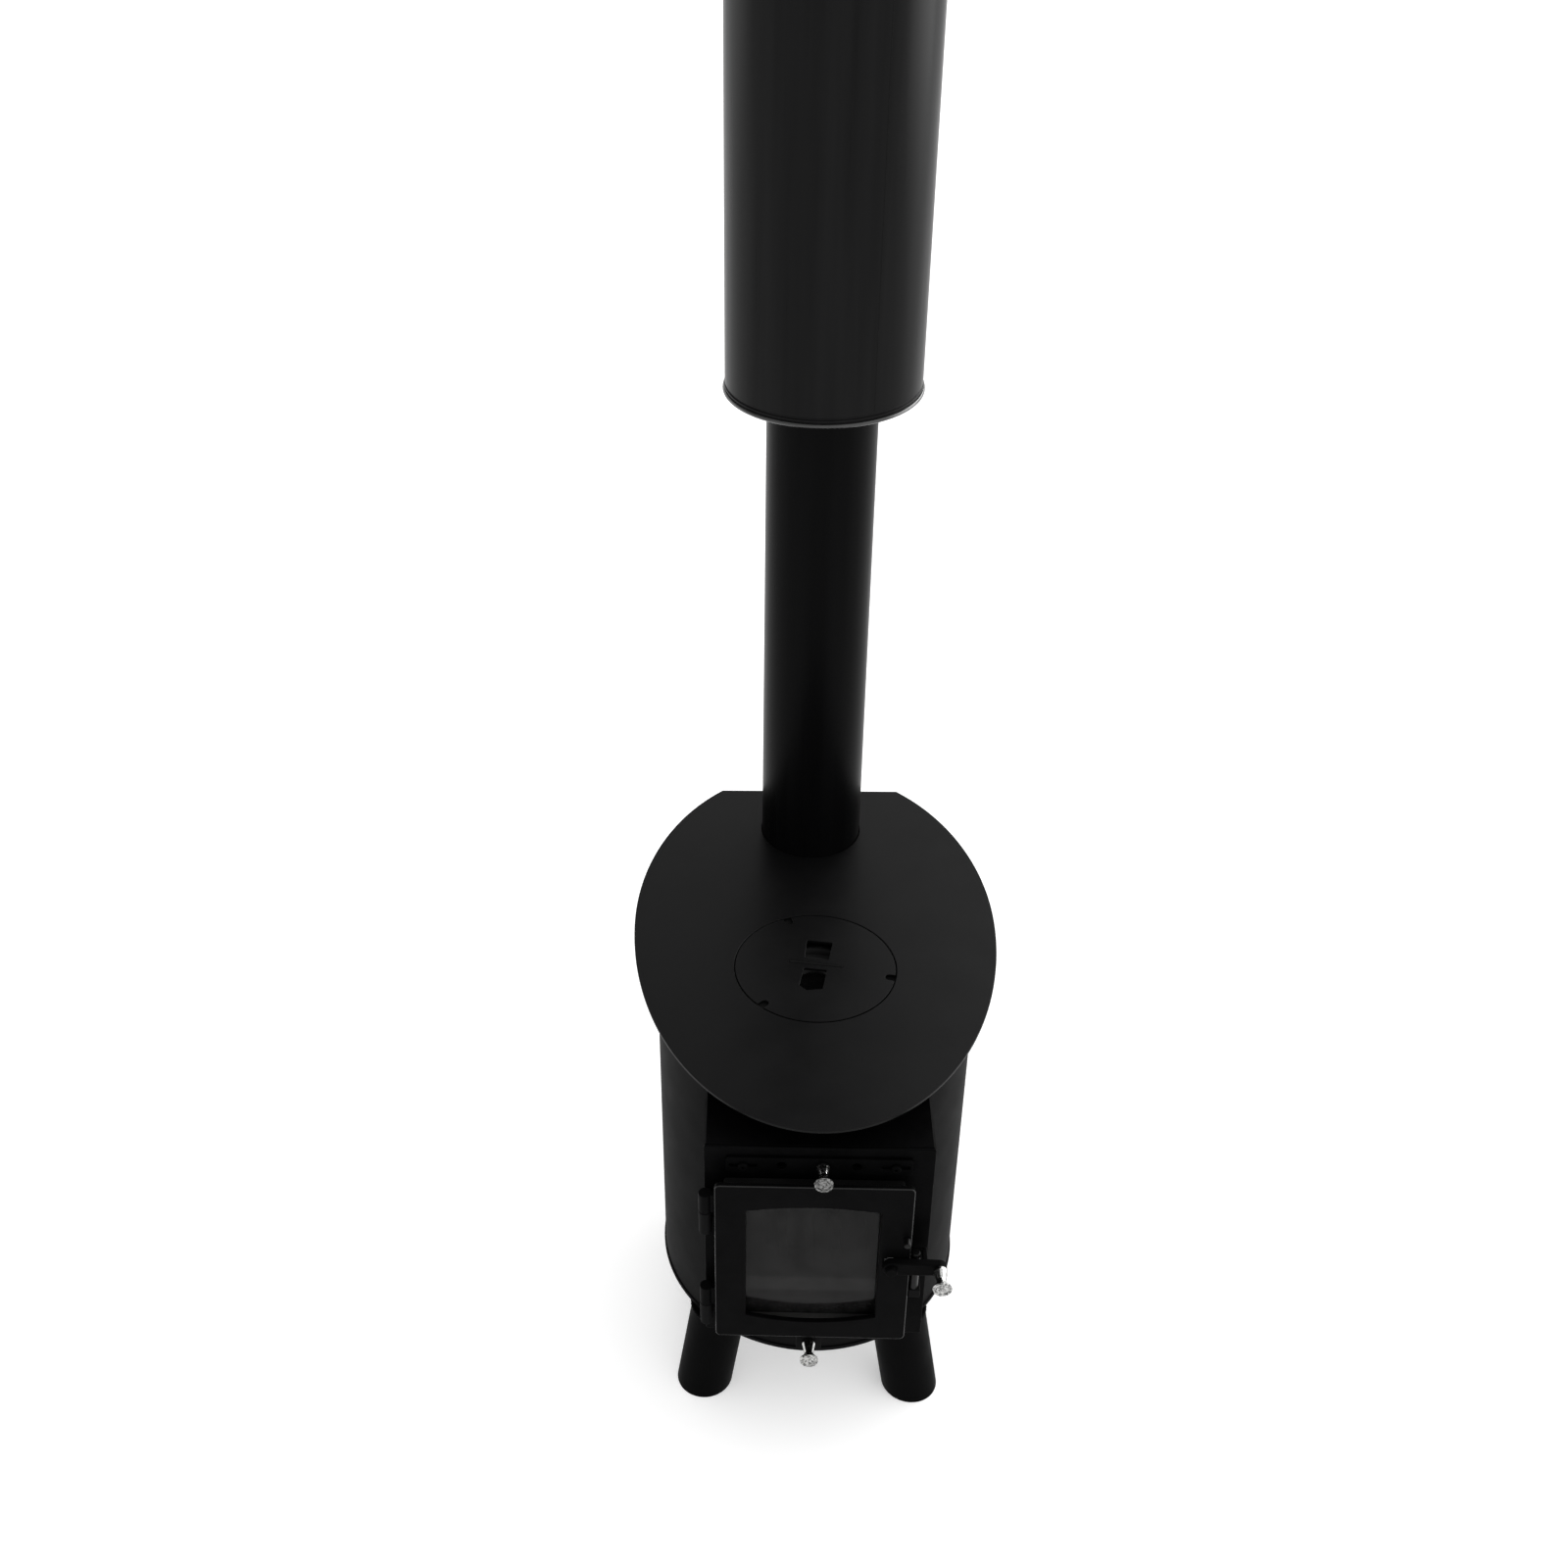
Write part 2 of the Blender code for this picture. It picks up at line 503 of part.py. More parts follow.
def build_door():
    back = DOOR_FRONT_Y + DOOR_T
    rim = rounded((DOOR_X - DOOR_HALF_W, DOOR_LOW), (DOOR_X + DOOR_HALF_W, DOOR_HIGH), 0.005)
    finish(plate("door_plate", [rim, window_outline()], DOOR_FRONT_Y, back, upright=True), STEEL)
    middle = (DOOR_X, GLASS_Z)
    channel_back = GLASS_FRONT_Y + GLASS_T
    wall = [h + CHANNEL_WALL for h in CHANNEL_IN]
    groove = [h + CHANNEL_GROOVE for h in wall]
    outer = [h + CHANNEL_LIP for h in groove]
    channel = frame_ring("door_seal_channel", CHANNEL_IN, outer, middle, (back + GAP, channel_back))
    groove_y = (channel_back - 0.0065, channel_back + 0.01)
    boolean(channel, frame_ring("seal_groove", wall, groove, middle, groove_y))
    finish(channel, STEEL)
    finish(frame_ring("glass_gasket", (WINDOW_HALF_W + 0.0004, 0.0785), GLASS_HALF, middle,
                      (back + GAP, GLASS_FRONT_Y - GAP), 0.003), ROPE)
    low = (DOOR_X - GLASS_HALF[0], GLASS_Z - GLASS_HALF[1])
    high = (DOOR_X + GLASS_HALF[0], GLASS_Z + GLASS_HALF[1])
    finish(plate("door_glass", [rounded(low, high, 0.003)], GLASS_FRONT_Y, GLASS_FRONT_Y + GLASS_T,
                 upright=True), GLASS)
    rope_half = [w + CHANNEL_GROOVE / 2 for w in wall]
    rope_y = BOX_FRONT_Y - GAP - ROPE_R
    rope = bpy.data.curves.new("door_rope_seal", "CURVE")
    rope.dimensions = "3D"
    rope.bevel_depth = ROPE_R
    rope.bevel_resolution = 2
    spline = rope.splines.new("POLY")
    path = rounded((DOOR_X - rope_half[0], GLASS_Z - rope_half[1]),
                   (DOOR_X + rope_half[0], GLASS_Z + rope_half[1]), 0.0055, 5)
    spline.points.add(len(path) - 1)
    for point, (x, z) in zip(spline.points, path):
        point.co = (x, rope_y, z, 1.0)
    spline.use_cyclic_u = True
    finish(bpy.data.objects.new("door_rope_seal", rope), ROPE)
    screw_x = CHANNEL_IN[0] + CHANNEL_WALL / 2
    for side, sign in (("left", -1), ("right", 1)):
        edges = sorted((DOOR_X + sign * 0.0612, DOOR_X + sign * 0.0702))
        clip_back = channel_back + GAP + 0.0015
        strip = rounded((edges[0], GLASS_Z - 0.072), (edges[1], GLASS_Z + 0.072), 0.001, 2)
        holes = [circle((DOOR_X + sign * screw_x, GLASS_Z + dz), 0.0019, 12) for dz in (-0.060, 0.060)]
        finish(plate(f"glass_clip_{side}", [strip] + holes, channel_back + GAP, clip_back, upright=True),
               STEEL)
        for level, dz in (("low", -0.060), ("high", 0.060)):
            at = (DOOR_X + sign * screw_x, clip_back + GAP, GLASS_Z + dz)
            shape = [(0.0, 0.0012), (0.0022, 0.0012), (0.0028, 0.0006), (0.0028, 0.0), (0.0015, 0.0),
                     (0.0015, -0.0016), (0.0, -0.0016)]
            finish(turned(f"glass_screw_{side}_{level}", shape, at, 16, facing=(0, 1, 0)), BRIGHT)


def build_hinges():
    for level, top in HINGE_TOPS.items():
        low = top - HINGE_LUG_H
        lug = rod(f"door_hinge_lug_{level}", HINGE_R, (HINGE_X, HINGE_Y, low), (HINGE_X, HINGE_Y, top))
        arm = box(f"lug_arm_{level}", (HINGE_X, DOOR_FRONT_Y + DOOR_T + GAP, low), (-0.0860, -0.2415, top))
        boolean(lug, arm, "UNION")
        boolean(lug, rod(f"lug_bore_{level}", HINGE_BORE_R, (HINGE_X, HINGE_Y, low - 0.01),
                         (HINGE_X, HINGE_Y, top - 0.004), 24))
        finish(lug, STEEL)
        high = low - 0.0006
        bottom = high - HINGE_KNUCKLE_H
        knuckle = rod(f"frame_hinge_knuckle_{level}", HINGE_R, (HINGE_X, HINGE_Y, bottom),
                      (HINGE_X, HINGE_Y, high))
        leaf = box(f"knuckle_leaf_{level}", (HINGE_X - 0.001, HINGE_Y, bottom),
                   (-0.0945, BOX_FRONT_Y - GAP, high))
        boolean(knuckle, leaf, "UNION")
        boolean(knuckle, rod(f"knuckle_bore_{level}", HINGE_BORE_R, (HINGE_X, HINGE_Y, bottom + 0.004),
                             (HINGE_X, HINGE_Y, high + 0.01), 24))
        finish(knuckle, STEEL)
        finish(rod(f"hinge_pin_{level}", HINGE_PIN_R, (HINGE_X, HINGE_Y, bottom + 0.004 + GAP),
                   (HINGE_X, HINGE_Y, top - 0.004 - GAP), 24), BRIGHT)


def build_latch():
    front, back = LATCH_Y
    bar = arc((LATCH_KNOB_X - 0.001, LATCH_Z), LATCH_HALF_H * 0.9, -90, 90, 10) + \
        arc((LATCH_X, LATCH_Z), LATCH_HALF_H, 90, 270, 12)
    bore = circle((LATCH_X, LATCH_Z), 0.0034, 20)
    finish(plate("latch_lever", [bar, bore], front, back, upright=True), STEEL)
    side = POST_X + POST_R + 0.0022
    low, high = LATCH_Z + HOOK_Z[0], LATCH_Z + HOOK_Z[1]
    hook = box("latch_hook", (side, back + GAP, low), (side + HOOK_T, HOOK_Y[1], high))
    tip = box("hook_tip", (POST_X - HOOK_X, HOOK_Y[0], low), (side + HOOK_T, HOOK_Y[1], high))
    finish(boolean(hook, tip, "UNION"), STEEL)
    reach = front - (DOOR_FRONT_Y - 0.0007)
    bolt = [(0.0, 0.0040), (0.0046, 0.0040), (0.0055, 0.0028), (0.0055, 0.0), (0.0030, 0.0),
            (0.0030, reach), (0.0, reach)]
    finish(turned("latch_pivot_bolt", bolt, (LATCH_X, front - GAP, LATCH_Z), 28, facing=(0, -1, 0)), STEEL)
    washer = [(0.0072, 0.0), (0.0072, -0.0004), (0.0036, -0.0004), (0.0036, 0.0)]
    finish(turned("latch_washer", washer, (LATCH_X, DOOR_FRONT_Y - 0.0007, LATCH_Z), 28, closed=True,
                  facing=(0, -1, 0)), BRIGHT)
    finish(rod("latch_stop_pin", STOP_PIN_R, (STOP_PIN_X, DOOR_FRONT_Y - GAP, STOP_PIN_Z),
               (STOP_PIN_X, DOOR_FRONT_Y - STOP_PIN_LEN, STOP_PIN_Z), 24), STEEL)
    knob("latch_knob", (LATCH_KNOB_X, front - GAP, LATCH_Z + LATCH_KNOB_RISE))
    finish(rod("keeper_post", POST_R, (POST_X, POST_Y, POST_Z[0]), (POST_X, POST_Y, POST_Z[1]), 28), STEEL)
    finish(box("keeper_bracket", (POST_X - 0.0045, POST_Y - 0.0045, POST_Z[0] - 0.0105),
               (POST_X + 0.0060, BOX_FRONT_Y - GAP, POST_Z[0] - GAP)), STEEL)


# Inside ---------------------------------------------------------------------------------------
def build_firebox():
    middle = (0, BODY_Y)
    low = BASE_Z + BASE_T + GAP
    for name, start, end, steps in BRICK_ARCS:
        outline = arc(middle, BRICK_OUT, start, end, steps) + arc(middle, BRICK_IN, end, start, steps)
        finish(plate(f"fire_brick_{name}", [outline], low, BRICK_TOP), BRICK)
    slots = []
    for number in range(-3, 4):
        x = number * 0.027
        half = math.sqrt(0.105 ** 2 - x ** 2)
        slots.append(rounded((x - 0.005, BODY_Y - half), (x + 0.005, BODY_Y + half), 0.0045, 3))
    grate = plate("grate", [circle(middle, GRATE_R, 48)] + slots, GRATE_Z, GRATE_Z + GRATE_T)
    for number, turn in enumerate((90, 210, 330)):
        x = GRATE_FOOT_AT * math.cos(math.radians(turn))
        y = BODY_Y + GRATE_FOOT_AT * math.sin(math.radians(turn))
        foot = rod(f"grate_foot_{number}", GRATE_FOOT_R, (x, y, low), (x, y, GRATE_Z + 0.004), 16)
        boolean(grate, foot, "UNION")
    finish(grate, DARK)
    wide = math.degrees(math.asin(0.076 / BAFFLE_R))
    outline = arc(middle, BAFFLE_R, -wide, 180 + wide, 44)
    finish(plate("baffle", [outline], BRICK_TOP + GAP, BRICK_TOP + BAFFLE_T), BRICK)


# Moving groups --------------------------------------------------------------------------------
def hang(name, point, pieces, parent=None):
    """An empty on a joint's axis that carries the pieces which move on that joint."""
    axis = bpy.data.objects.new(name, None)
    axis.empty_display_size = 0.02
    axis.location = point
    PARTS.objects.link(axis)
    bpy.context.view_layer.update()
    for piece in [bpy.data.objects[p] for p in pieces]:
        piece.parent = axis
        piece.matrix_parent_inverse = axis.matrix_world.inverted()
    if parent is not None:
        axis.parent = parent
        axis.matrix_parent_inverse = parent.matrix_world.inverted()
    return axis


def build_joints():
    levels, sides = ("lower", "upper"), ("left", "right")
    screws = [f"glass_screw_{side}_{level}" for side in sides for level in ("low", "high")]
    door = hang("door_axis", (HINGE_X, HINGE_Y, GLASS_Z),
                ["door_plate", "door_seal_channel", "door_rope_seal", "glass_gasket", "door_glass"] + screws
                + [f"glass_clip_{side}" for side in sides] + [f"door_hinge_lug_{level}" for level in levels]
                + ["latch_pivot_bolt", "latch_washer", "latch_stop_pin"])
    hang("latch_axis", (LATCH_X, sum(LATCH_Y) / 2, LATCH_Z), ["latch_lever", "latch_hook", "latch_knob"],
         door)
    hang("lid_axis", (0, BODY_Y, PLATE_TOP), ["hotplate_lid", "lid_lift_bar", "lid_pocket"])
    hang("secondary_air_axis", (AIR_KNOB_X, BOX_FRONT_Y, AIR_Z),
         ["secondary_air_slide", "secondary_air_knob"])
    hang("primary_air_axis", (DOOR_X, BOX_FRONT_Y, PRIMARY_Z), ["primary_air_slide", "primary_air_knob"])


def main():
    build_body()
    build_legs()
    build_lid()
    build_flue()
    build_door_box()
    build_air_slides()
    build_door()
    build_hinges()
    build_latch()
    build_firebox()
    build_joints()


clear_scene()
PARTS = new_collection("wood_stove")
CUTTERS = new_collection("cutters")
main()
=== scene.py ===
"""Looks of a small steel wood burning stove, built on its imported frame.

Every sub-assembly is a class whose fields are its sizes and whose methods model its pieces and
give them their finish.  Lengths are metres, +Z is up and the door faces -Y.
"""
from __future__ import annotations

import logging
import math
from dataclasses import dataclass, field
from enum import Enum
from typing import Callable, Iterable, Sequence

import bmesh
import bpy
from mathutils import Matrix, Vector


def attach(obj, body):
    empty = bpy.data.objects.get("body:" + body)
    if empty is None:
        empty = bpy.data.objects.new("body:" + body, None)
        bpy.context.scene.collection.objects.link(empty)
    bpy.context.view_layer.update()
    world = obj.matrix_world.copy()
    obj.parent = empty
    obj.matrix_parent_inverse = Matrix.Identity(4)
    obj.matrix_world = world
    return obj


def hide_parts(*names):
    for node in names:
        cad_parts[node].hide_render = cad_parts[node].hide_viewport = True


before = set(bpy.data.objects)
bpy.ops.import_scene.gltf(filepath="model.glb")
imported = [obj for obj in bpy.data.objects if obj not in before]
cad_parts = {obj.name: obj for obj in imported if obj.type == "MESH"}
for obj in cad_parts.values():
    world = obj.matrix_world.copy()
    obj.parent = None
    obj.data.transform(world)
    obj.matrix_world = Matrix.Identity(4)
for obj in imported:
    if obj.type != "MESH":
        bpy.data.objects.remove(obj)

LOG = logging.getLogger("stove")
GAP = 0.0003

Point = tuple[float, float]
Colour = tuple[float, float, float]
Place = Callable[[float, float, float], Vector]
Socket = bpy.types.NodeSocket
Solid = bmesh.types.BMesh


class Body(Enum):
    """The bodies of the frame that a piece can ride on."""

    STOVE = "stove"
    DOOR = "door"
    LATCH = "latch"
    LID = "lid"
    UPPER_AIR = "secondary_air"
    LOWER_AIR = "primary_air"


class Slot(Enum):
    """The material slots of the record."""

    STEEL = "stove_steel"
    IRON = "raw_dark_iron"
    BRIGHT = "bright_metal"
    FLUE = "flue_steel"
    LINER = "liner_steel"
    ROPE = "rope"
    WOOL = "wool"
    BRICK = "firebrick"
    WINDOW = "window"


# Finishes -------------------------------------------------------------------------------------
class Coat:
    """A Principled material while it is being wired, with short calls for its usual nodes."""

    def __init__(self, name: str, colour: Colour, roughness: float, specular: float, metallic: float = 0.0) -> None:
        """Starts a material.

        Args:
            name: The material's name.
            colour: Its mean colour, linear.
            roughness: Its mean roughness.
            specular: The specular level of the shader.
            metallic: 1 for bare metal, else 0.
        """
        self.material = bpy.data.materials.new(name)
        self.material.use_nodes = True
        self.tree = self.material.node_tree
        self.shader = self.tree.nodes["Principled BSDF"]
        self.set("Base Color", (*colour, 1.0))
        self.set("Roughness", roughness)
        self.set("Specular IOR Level", specular)
        self.set("Metallic", metallic)
        self.where = self.tree.nodes.new("ShaderNodeTexCoord").outputs["Object"]

    def set(self, socket: str, value: object) -> None:
        """Sets one of the shader's own sockets."""
        self.shader.inputs[socket].default_value = value

    def wire(self, source: Socket, socket: str) -> None:
        """Links a pattern into one of the shader's sockets."""
        self.tree.links.new(source, self.shader.inputs[socket])

    def along(self, axis: str, vector: Socket | None = None) -> Socket:
        """One coordinate of a place.

        Args:
            axis: "X", "Y" or "Z".
            vector: The place, if it isn't the object's own coordinates.

        Returns:
            The coordinate's socket.
        """
        split = self.tree.nodes.new("ShaderNodeSeparateXYZ")
        self.tree.links.new(self.where if vector is None else vector, split.inputs["Vector"])
        return split.outputs[axis]

    def stretched(self, scale: tuple[float, float, float],
                  offset: Sequence[float] = (0, 0, 0)) -> Socket:
        """Object coordinates moved and then scaled.

        Args:
            scale: The factor along each axis.
            offset: The point that becomes the pattern's middle.

        Returns:
            The vector socket.
        """
        move = self.tree.nodes.new("ShaderNodeMapping")
        move.vector_type = "TEXTURE"
        move.inputs["Location"].default_value = tuple(offset)
        move.inputs["Scale"].default_value = tuple(1.0 / s for s in scale)
        self.tree.links.new(self.where, move.inputs["Vector"])
        return move.outputs["Vector"]

    def noise(self, scale: float, detail: float = 3.0, vector: Socket | None = None,
              roughness: float = 0.5) -> Socket:
        """A noise pattern.

        Args:
            scale: How many features a metre holds.
            detail: Octaves of finer noise.
            vector: Coordinates, if not the object's own.
            roughness: How strong the finer octaves are.

        Returns:
            The pattern's value socket.
        """
        node = self.tree.nodes.new("ShaderNodeTexNoise")
        node.inputs["Scale"].default_value = scale
        node.inputs["Detail"].default_value = detail
        node.inputs["Roughness"].default_value = roughness
        self.tree.links.new(vector or self.where, node.inputs["Vector"])
        return node.outputs["Fac"]

    def ramp(self, value: Socket, stops: Sequence[tuple[float, Colour]]) -> Socket:
        """Turns a value into a colour.

        Args:
            value: The value socket.
            stops: Pairs of a position and a colour.

        Returns:
            The colour socket.
        """
        node = self.tree.nodes.new("ShaderNodeValToRGB")
        elements = node.color_ramp.elements
        while len(elements) < len(stops):
            elements.new(0.5)
        for element, (position, colour) in zip(elements, stops):
            element.position = position
            element.color = (*colour, 1.0)
        self.tree.links.new(value, node.inputs["Fac"])
        return node.outputs["Color"]

    def spread(self, value: Socket, low: float, high: float, start: float = 0.3,
               end: float = 0.7) -> Socket:
        """Maps start..end of a value onto low..high.

        Args:
            value: The value socket.
            low: Result at start.
            high: Result at end.
            start: Where the range begins.
            end: Where the range ends.

        Returns:
            The mapped value socket.
        """
        node = self.tree.nodes.new("ShaderNodeMapRange")
        for name, number in (("From Min", start), ("From Max", end), ("To Min", low), ("To Max", high)):
            node.inputs[name].default_value = number
        self.tree.links.new(value, node.inputs["Value"])
        return node.outputs["Result"]

    def mixed(self, factor: Socket, a: Socket,
              b: Socket) -> Socket:
        """Mixes two colours.

        Args:
            factor: 0 gives the first, 1 the second.
            a: The first colour.
            b: The second colour.

        Returns:
            The mixed colour socket.
        """
        node = self.tree.nodes.new("ShaderNodeMix")
        node.data_type = "RGBA"
        self.tree.links.new(factor, node.inputs["Factor"])
        self.tree.links.new(a, node.inputs["A"])
        self.tree.links.new(b, node.inputs["B"])
        return next(s for s in node.outputs if s.type == "RGBA")

    def relief(self, height: Socket, depth: float, strength: float = 1.0) -> None:
        """Raises the surface by a pattern, on top of the relief already there.

        Args:
            height: The value socket of the pattern.
            depth: The pattern's height in metres.
            strength: How much of it shows.
        """
        node = self.tree.nodes.new("ShaderNodeBump")
        node.inputs["Distance"].default_value = depth
        node.inputs["Strength"].default_value = strength
        self.tree.links.new(height, node.inputs["Height"])
        normal = self.shader.inputs["Normal"]
        if normal.is_linked:
            self.tree.links.new(normal.links[0].from_socket, node.inputs["Normal"])
        self.tree.links.new(node.outputs["Normal"], normal)


def shaded(colour: Colour, factor: float) -> Colour:
    """A colour made lighter or darker by a factor."""
    return tuple(min(1.0, c * factor) for c in colour)


@dataclass(frozen=True)
class Finish:
    """A finish that makes one material and hands it out again when asked again."""

    name: str

    def material(self) -> bpy.types.Material:
        """The finish's material, made at the first call."""
        return bpy.data.materials.get(self.name) or self.mix().material

    def mix(self) -> Coat:
        """Wires the material.

        Returns:
            The finished coat.
        """
        raise NotImplementedError


@dataclass(frozen=True)
class StovePaint(Finish):
    """Heat-resistant black paint: a fine dry grain and slow cloudy changes of tone and sheen."""

    colour: Colour = (0.010, 0.010, 0.0105)
    roughness: Point = (0.42, 0.56)
    specular: float = 0.22
    cloud: float = 14.0
    grain: float = 1500.0
    grain_depth: float = 0.00005
    contrast: float = 0.35

    def mix(self) -> Coat:
        """Wires the paint.

        Returns:
            The finished coat.
        """
        low, high = self.roughness
        coat = Coat(self.name, self.colour, (low + high) / 2, self.specular)
        clouds = coat.noise(self.cloud, 5.0, roughness=0.62)
        coat.wire(coat.ramp(clouds, [(0.30, shaded(self.colour, 1 - self.contrast)), (0.52, self.colour),
                                     (0.74, shaded(self.colour, 1 + self.contrast))]), "Base Color")
        coat.wire(coat.spread(coat.noise(self.cloud * 2.3, 4.0), low, high), "Roughness")
        coat.relief(coat.noise(self.grain, 2.0), self.grain_depth, 0.35)
        return coat


@dataclass(frozen=True)
class FlueCoat(Finish):
    """Satin black flue coating, with faint marks drawn along the pipe."""

    colour: Colour = (0.012, 0.012, 0.0125)
    roughness: Point = (0.26, 0.36)
    specular: float = 0.35

    def mix(self) -> Coat:
        """Wires the coating.

        Returns:
            The finished coat.
        """
        low, high = self.roughness
        coat = Coat(self.name, self.colour, (low + high) / 2, self.specular)
        drawn = coat.noise(60.0, 4.0, coat.stretched((1.0, 1.0, 0.04)))
        marks = coat.ramp(drawn, [(0.30, shaded(self.colour, 0.75)), (0.70, shaded(self.colour, 1.3))])
        coat.wire(marks, "Base Color")
        coat.wire(coat.spread(drawn, low, high), "Roughness")
        coat.relief(coat.noise(900.0, 2.0), 0.00004, 0.25)
        return coat


@dataclass(frozen=True)
class TurnedMetal(Finish):
    """Bright turned metal: fine rings round the axis that it was turned on, and a mottled face that is darker than the
    stem, a painted shade.

    The face starts at face_at along Y, from the piece's foot, and face is its painted-shade brightness beside the
    stem's.
    """

    centre: tuple[float, float, float] = (0.0, 0.0, 0.0)
    colour: Colour = (0.58, 0.58, 0.57)
    face: float = 0.85
    face_at: float = -0.0205
    face_edge: float = 0.0005
    roughness: Point = (0.08, 0.20)
    pitch: float = 0.0005

    def mix(self) -> Coat:
        """Wires the metal.

        Returns:
            The finished coat.
        """
        low, high = self.roughness
        coat = Coat(self.name, self.colour, (low + high) / 2, 0.5, 1.0)
        rings = coat.tree.nodes.new("ShaderNodeTexWave")
        rings.wave_type = "RINGS"
        rings.rings_direction = "Y"
        rings.inputs["Scale"].default_value = 0.314 / self.pitch
        rings.inputs["Distortion"].default_value = 0.3
        place = coat.stretched((1.0, 1.0, 1.0), self.centre)
        coat.tree.links.new(place, rings.inputs["Vector"])
        handling = coat.noise(420.0, 4.0, roughness=0.6)
        coat.wire(coat.spread(handling, low, high), "Roughness")
        stem = coat.ramp(handling, [(0.36, shaded(self.colour, 0.6)), (0.58, self.colour)])
        # Painted shade: the face is darker than the stem by the factor face, standing in for its dimmer reflection; the
        # mottle is random tone.
        mottled_shaded_face = coat.ramp(handling, [(0.40, shaded(self.colour, 0.15 * self.face)),
                                    (0.56, shaded(self.colour, self.face))])
        on_face = coat.spread(coat.along("Y", place), 1.0, 0.0, self.face_at - self.face_edge, self.face_at)
        coat.wire(coat.mixed(on_face, stem, mottled_shaded_face), "Base Color")
        coat.relief(rings.outputs["Fac"], 0.00002, 0.25)
        return coat


@dataclass(frozen=True)
class PlainMetal(Finish):
    """Zinc plated or brushed metal with small scratches along one direction."""

    colour: Colour = (0.45, 0.45, 0.46)
    roughness: Point = (0.24, 0.42)
    along: tuple[float, float, float] = (1.0, 1.0, 0.05)
    scale: float = 500.0

    def mix(self) -> Coat:
        """Wires the metal.

        Returns:
            The finished coat.
        """
        low, high = self.roughness
        coat = Coat(self.name, self.colour, (low + high) / 2, 0.5, 1.0)
        marks = coat.noise(self.scale, 4.0, coat.stretched(self.along))
        coat.wire(coat.spread(marks, low, high), "Roughness")
        coat.wire(coat.ramp(marks, [(0.25, shaded(self.colour, 0.7)), (0.7, shaded(self.colour, 1.1))]), "Base Color")
        coat.relief(marks, 0.00002, 0.3)
        return coat


@dataclass(frozen=True)
class SootyGlass(Finish):
    """Ceramic door glass with a dark firebox behind it, hazed by cloudy ash with one pale band low down.

    Each of the bands is a share of the height from low to high, with the tone's least and greatest factor there.
    """

    tone: Colour = (0.0060, 0.0060, 0.0059)
    show_through: float = 0.88
    low: float = 0.236
    high: float = 0.396
    bands: tuple[tuple[float, float, float], ...] = ((0.0, 0.5, 1.5), (0.205, 0.5, 1.5), (0.22, 1.9, 2.7),
                                                     (0.315, 1.9, 2.7), (0.335, 0.4, 1.5), (1.0, 0.4, 1.5))

    def mix(self) -> Coat:
        """Wires the glass.

        Returns:
            The finished coat.
        """
        coat = Coat(self.name, self.tone, 0.12, 0.085)
        coat.set("Alpha", self.show_through)
        smear = coat.noise(48.0, 6.0, coat.stretched((1.0, 1.0, 0.6)), 0.68)
        drips = coat.noise(130.0, 4.0, coat.stretched((1.0, 1.0, 0.12)), 0.6)
        height = coat.spread(coat.along("Z"), 0.0, 1.0, self.low, self.high)
        dim = coat.ramp(height, [(at, shaded(self.tone, low)) for at, low, _ in self.bands])
        pale = coat.ramp(height, [(at, shaded(self.tone, high)) for at, _, high in self.bands])
        ash = coat.mixed(coat.spread(smear, 0.0, 1.0, 0.36, 0.60), dim, pale)
        coat.wire(coat.mixed(coat.spread(drips, 0.0, 0.4, 0.58, 0.72), ash, dim), "Base Color")
        coat.wire(coat.spread(smear, 0.05, 0.16), "Roughness")
        return coat


@dataclass(frozen=True)
class Fibre(Finish):
    """Fibrous or granular goods: braided rope, mineral wool or vermiculite board."""

    colour: Colour = (0.2, 0.19, 0.18)
    stain: Colour = (0.05, 0.05, 0.05)
    scale: float = 900.0
    depth: float = 0.0003
    squeeze: tuple[float, float, float] = (1.0, 1.0, 1.0)
    soot: float = 0.45

    def mix(self) -> Coat:
        """Wires the fibres.

        Returns:
            The finished coat.
        """
        coat = Coat(self.name, self.colour, 0.95, 0.1)
        fibres = coat.noise(self.scale, 4.0, coat.stretched(self.squeeze), 0.65)
        fresh = coat.ramp(fibres, [(0.28, shaded(self.colour, 0.55)), (0.70, shaded(self.colour, 1.2))])
        dirty = coat.ramp(fibres, [(0.28, shaded(self.stain, 0.6)), (0.70, shaded(self.stain, 1.3))])
        patches = coat.spread(coat.noise(18.0, 5.0), 0.0, 1.0, self.soot, self.soot + 0.22)
        coat.wire(coat.mixed(patches, fresh, dirty), "Base Color")
        coat.relief(fibres, self.depth, 0.7)
        return coat


@dataclass(frozen=True)
class StudioFloor(Finish):
    """Seamless pale studio floor, with a barely seen paper tooth and a faint glow that keeps it white."""

    colour: Colour = (0.90, 0.90, 0.90)
    glow: float = 0.36

    def mix(self) -> Coat:
        """Wires the floor.

        Returns:
            The finished coat.
        """
        coat = Coat(self.name, self.colour, 0.95, 0.0)
        coat.set("Emission Color", (1.0, 1.0, 1.0, 1.0))
        coat.set("Emission Strength", self.glow)
        tooth = coat.noise(240.0, 3.0)
        fibres = coat.ramp(tooth, [(0.3, shaded(self.colour, 0.995)), (0.7, shaded(self.colour, 1.005))])
        coat.wire(fibres, "Base Color")
        return coat


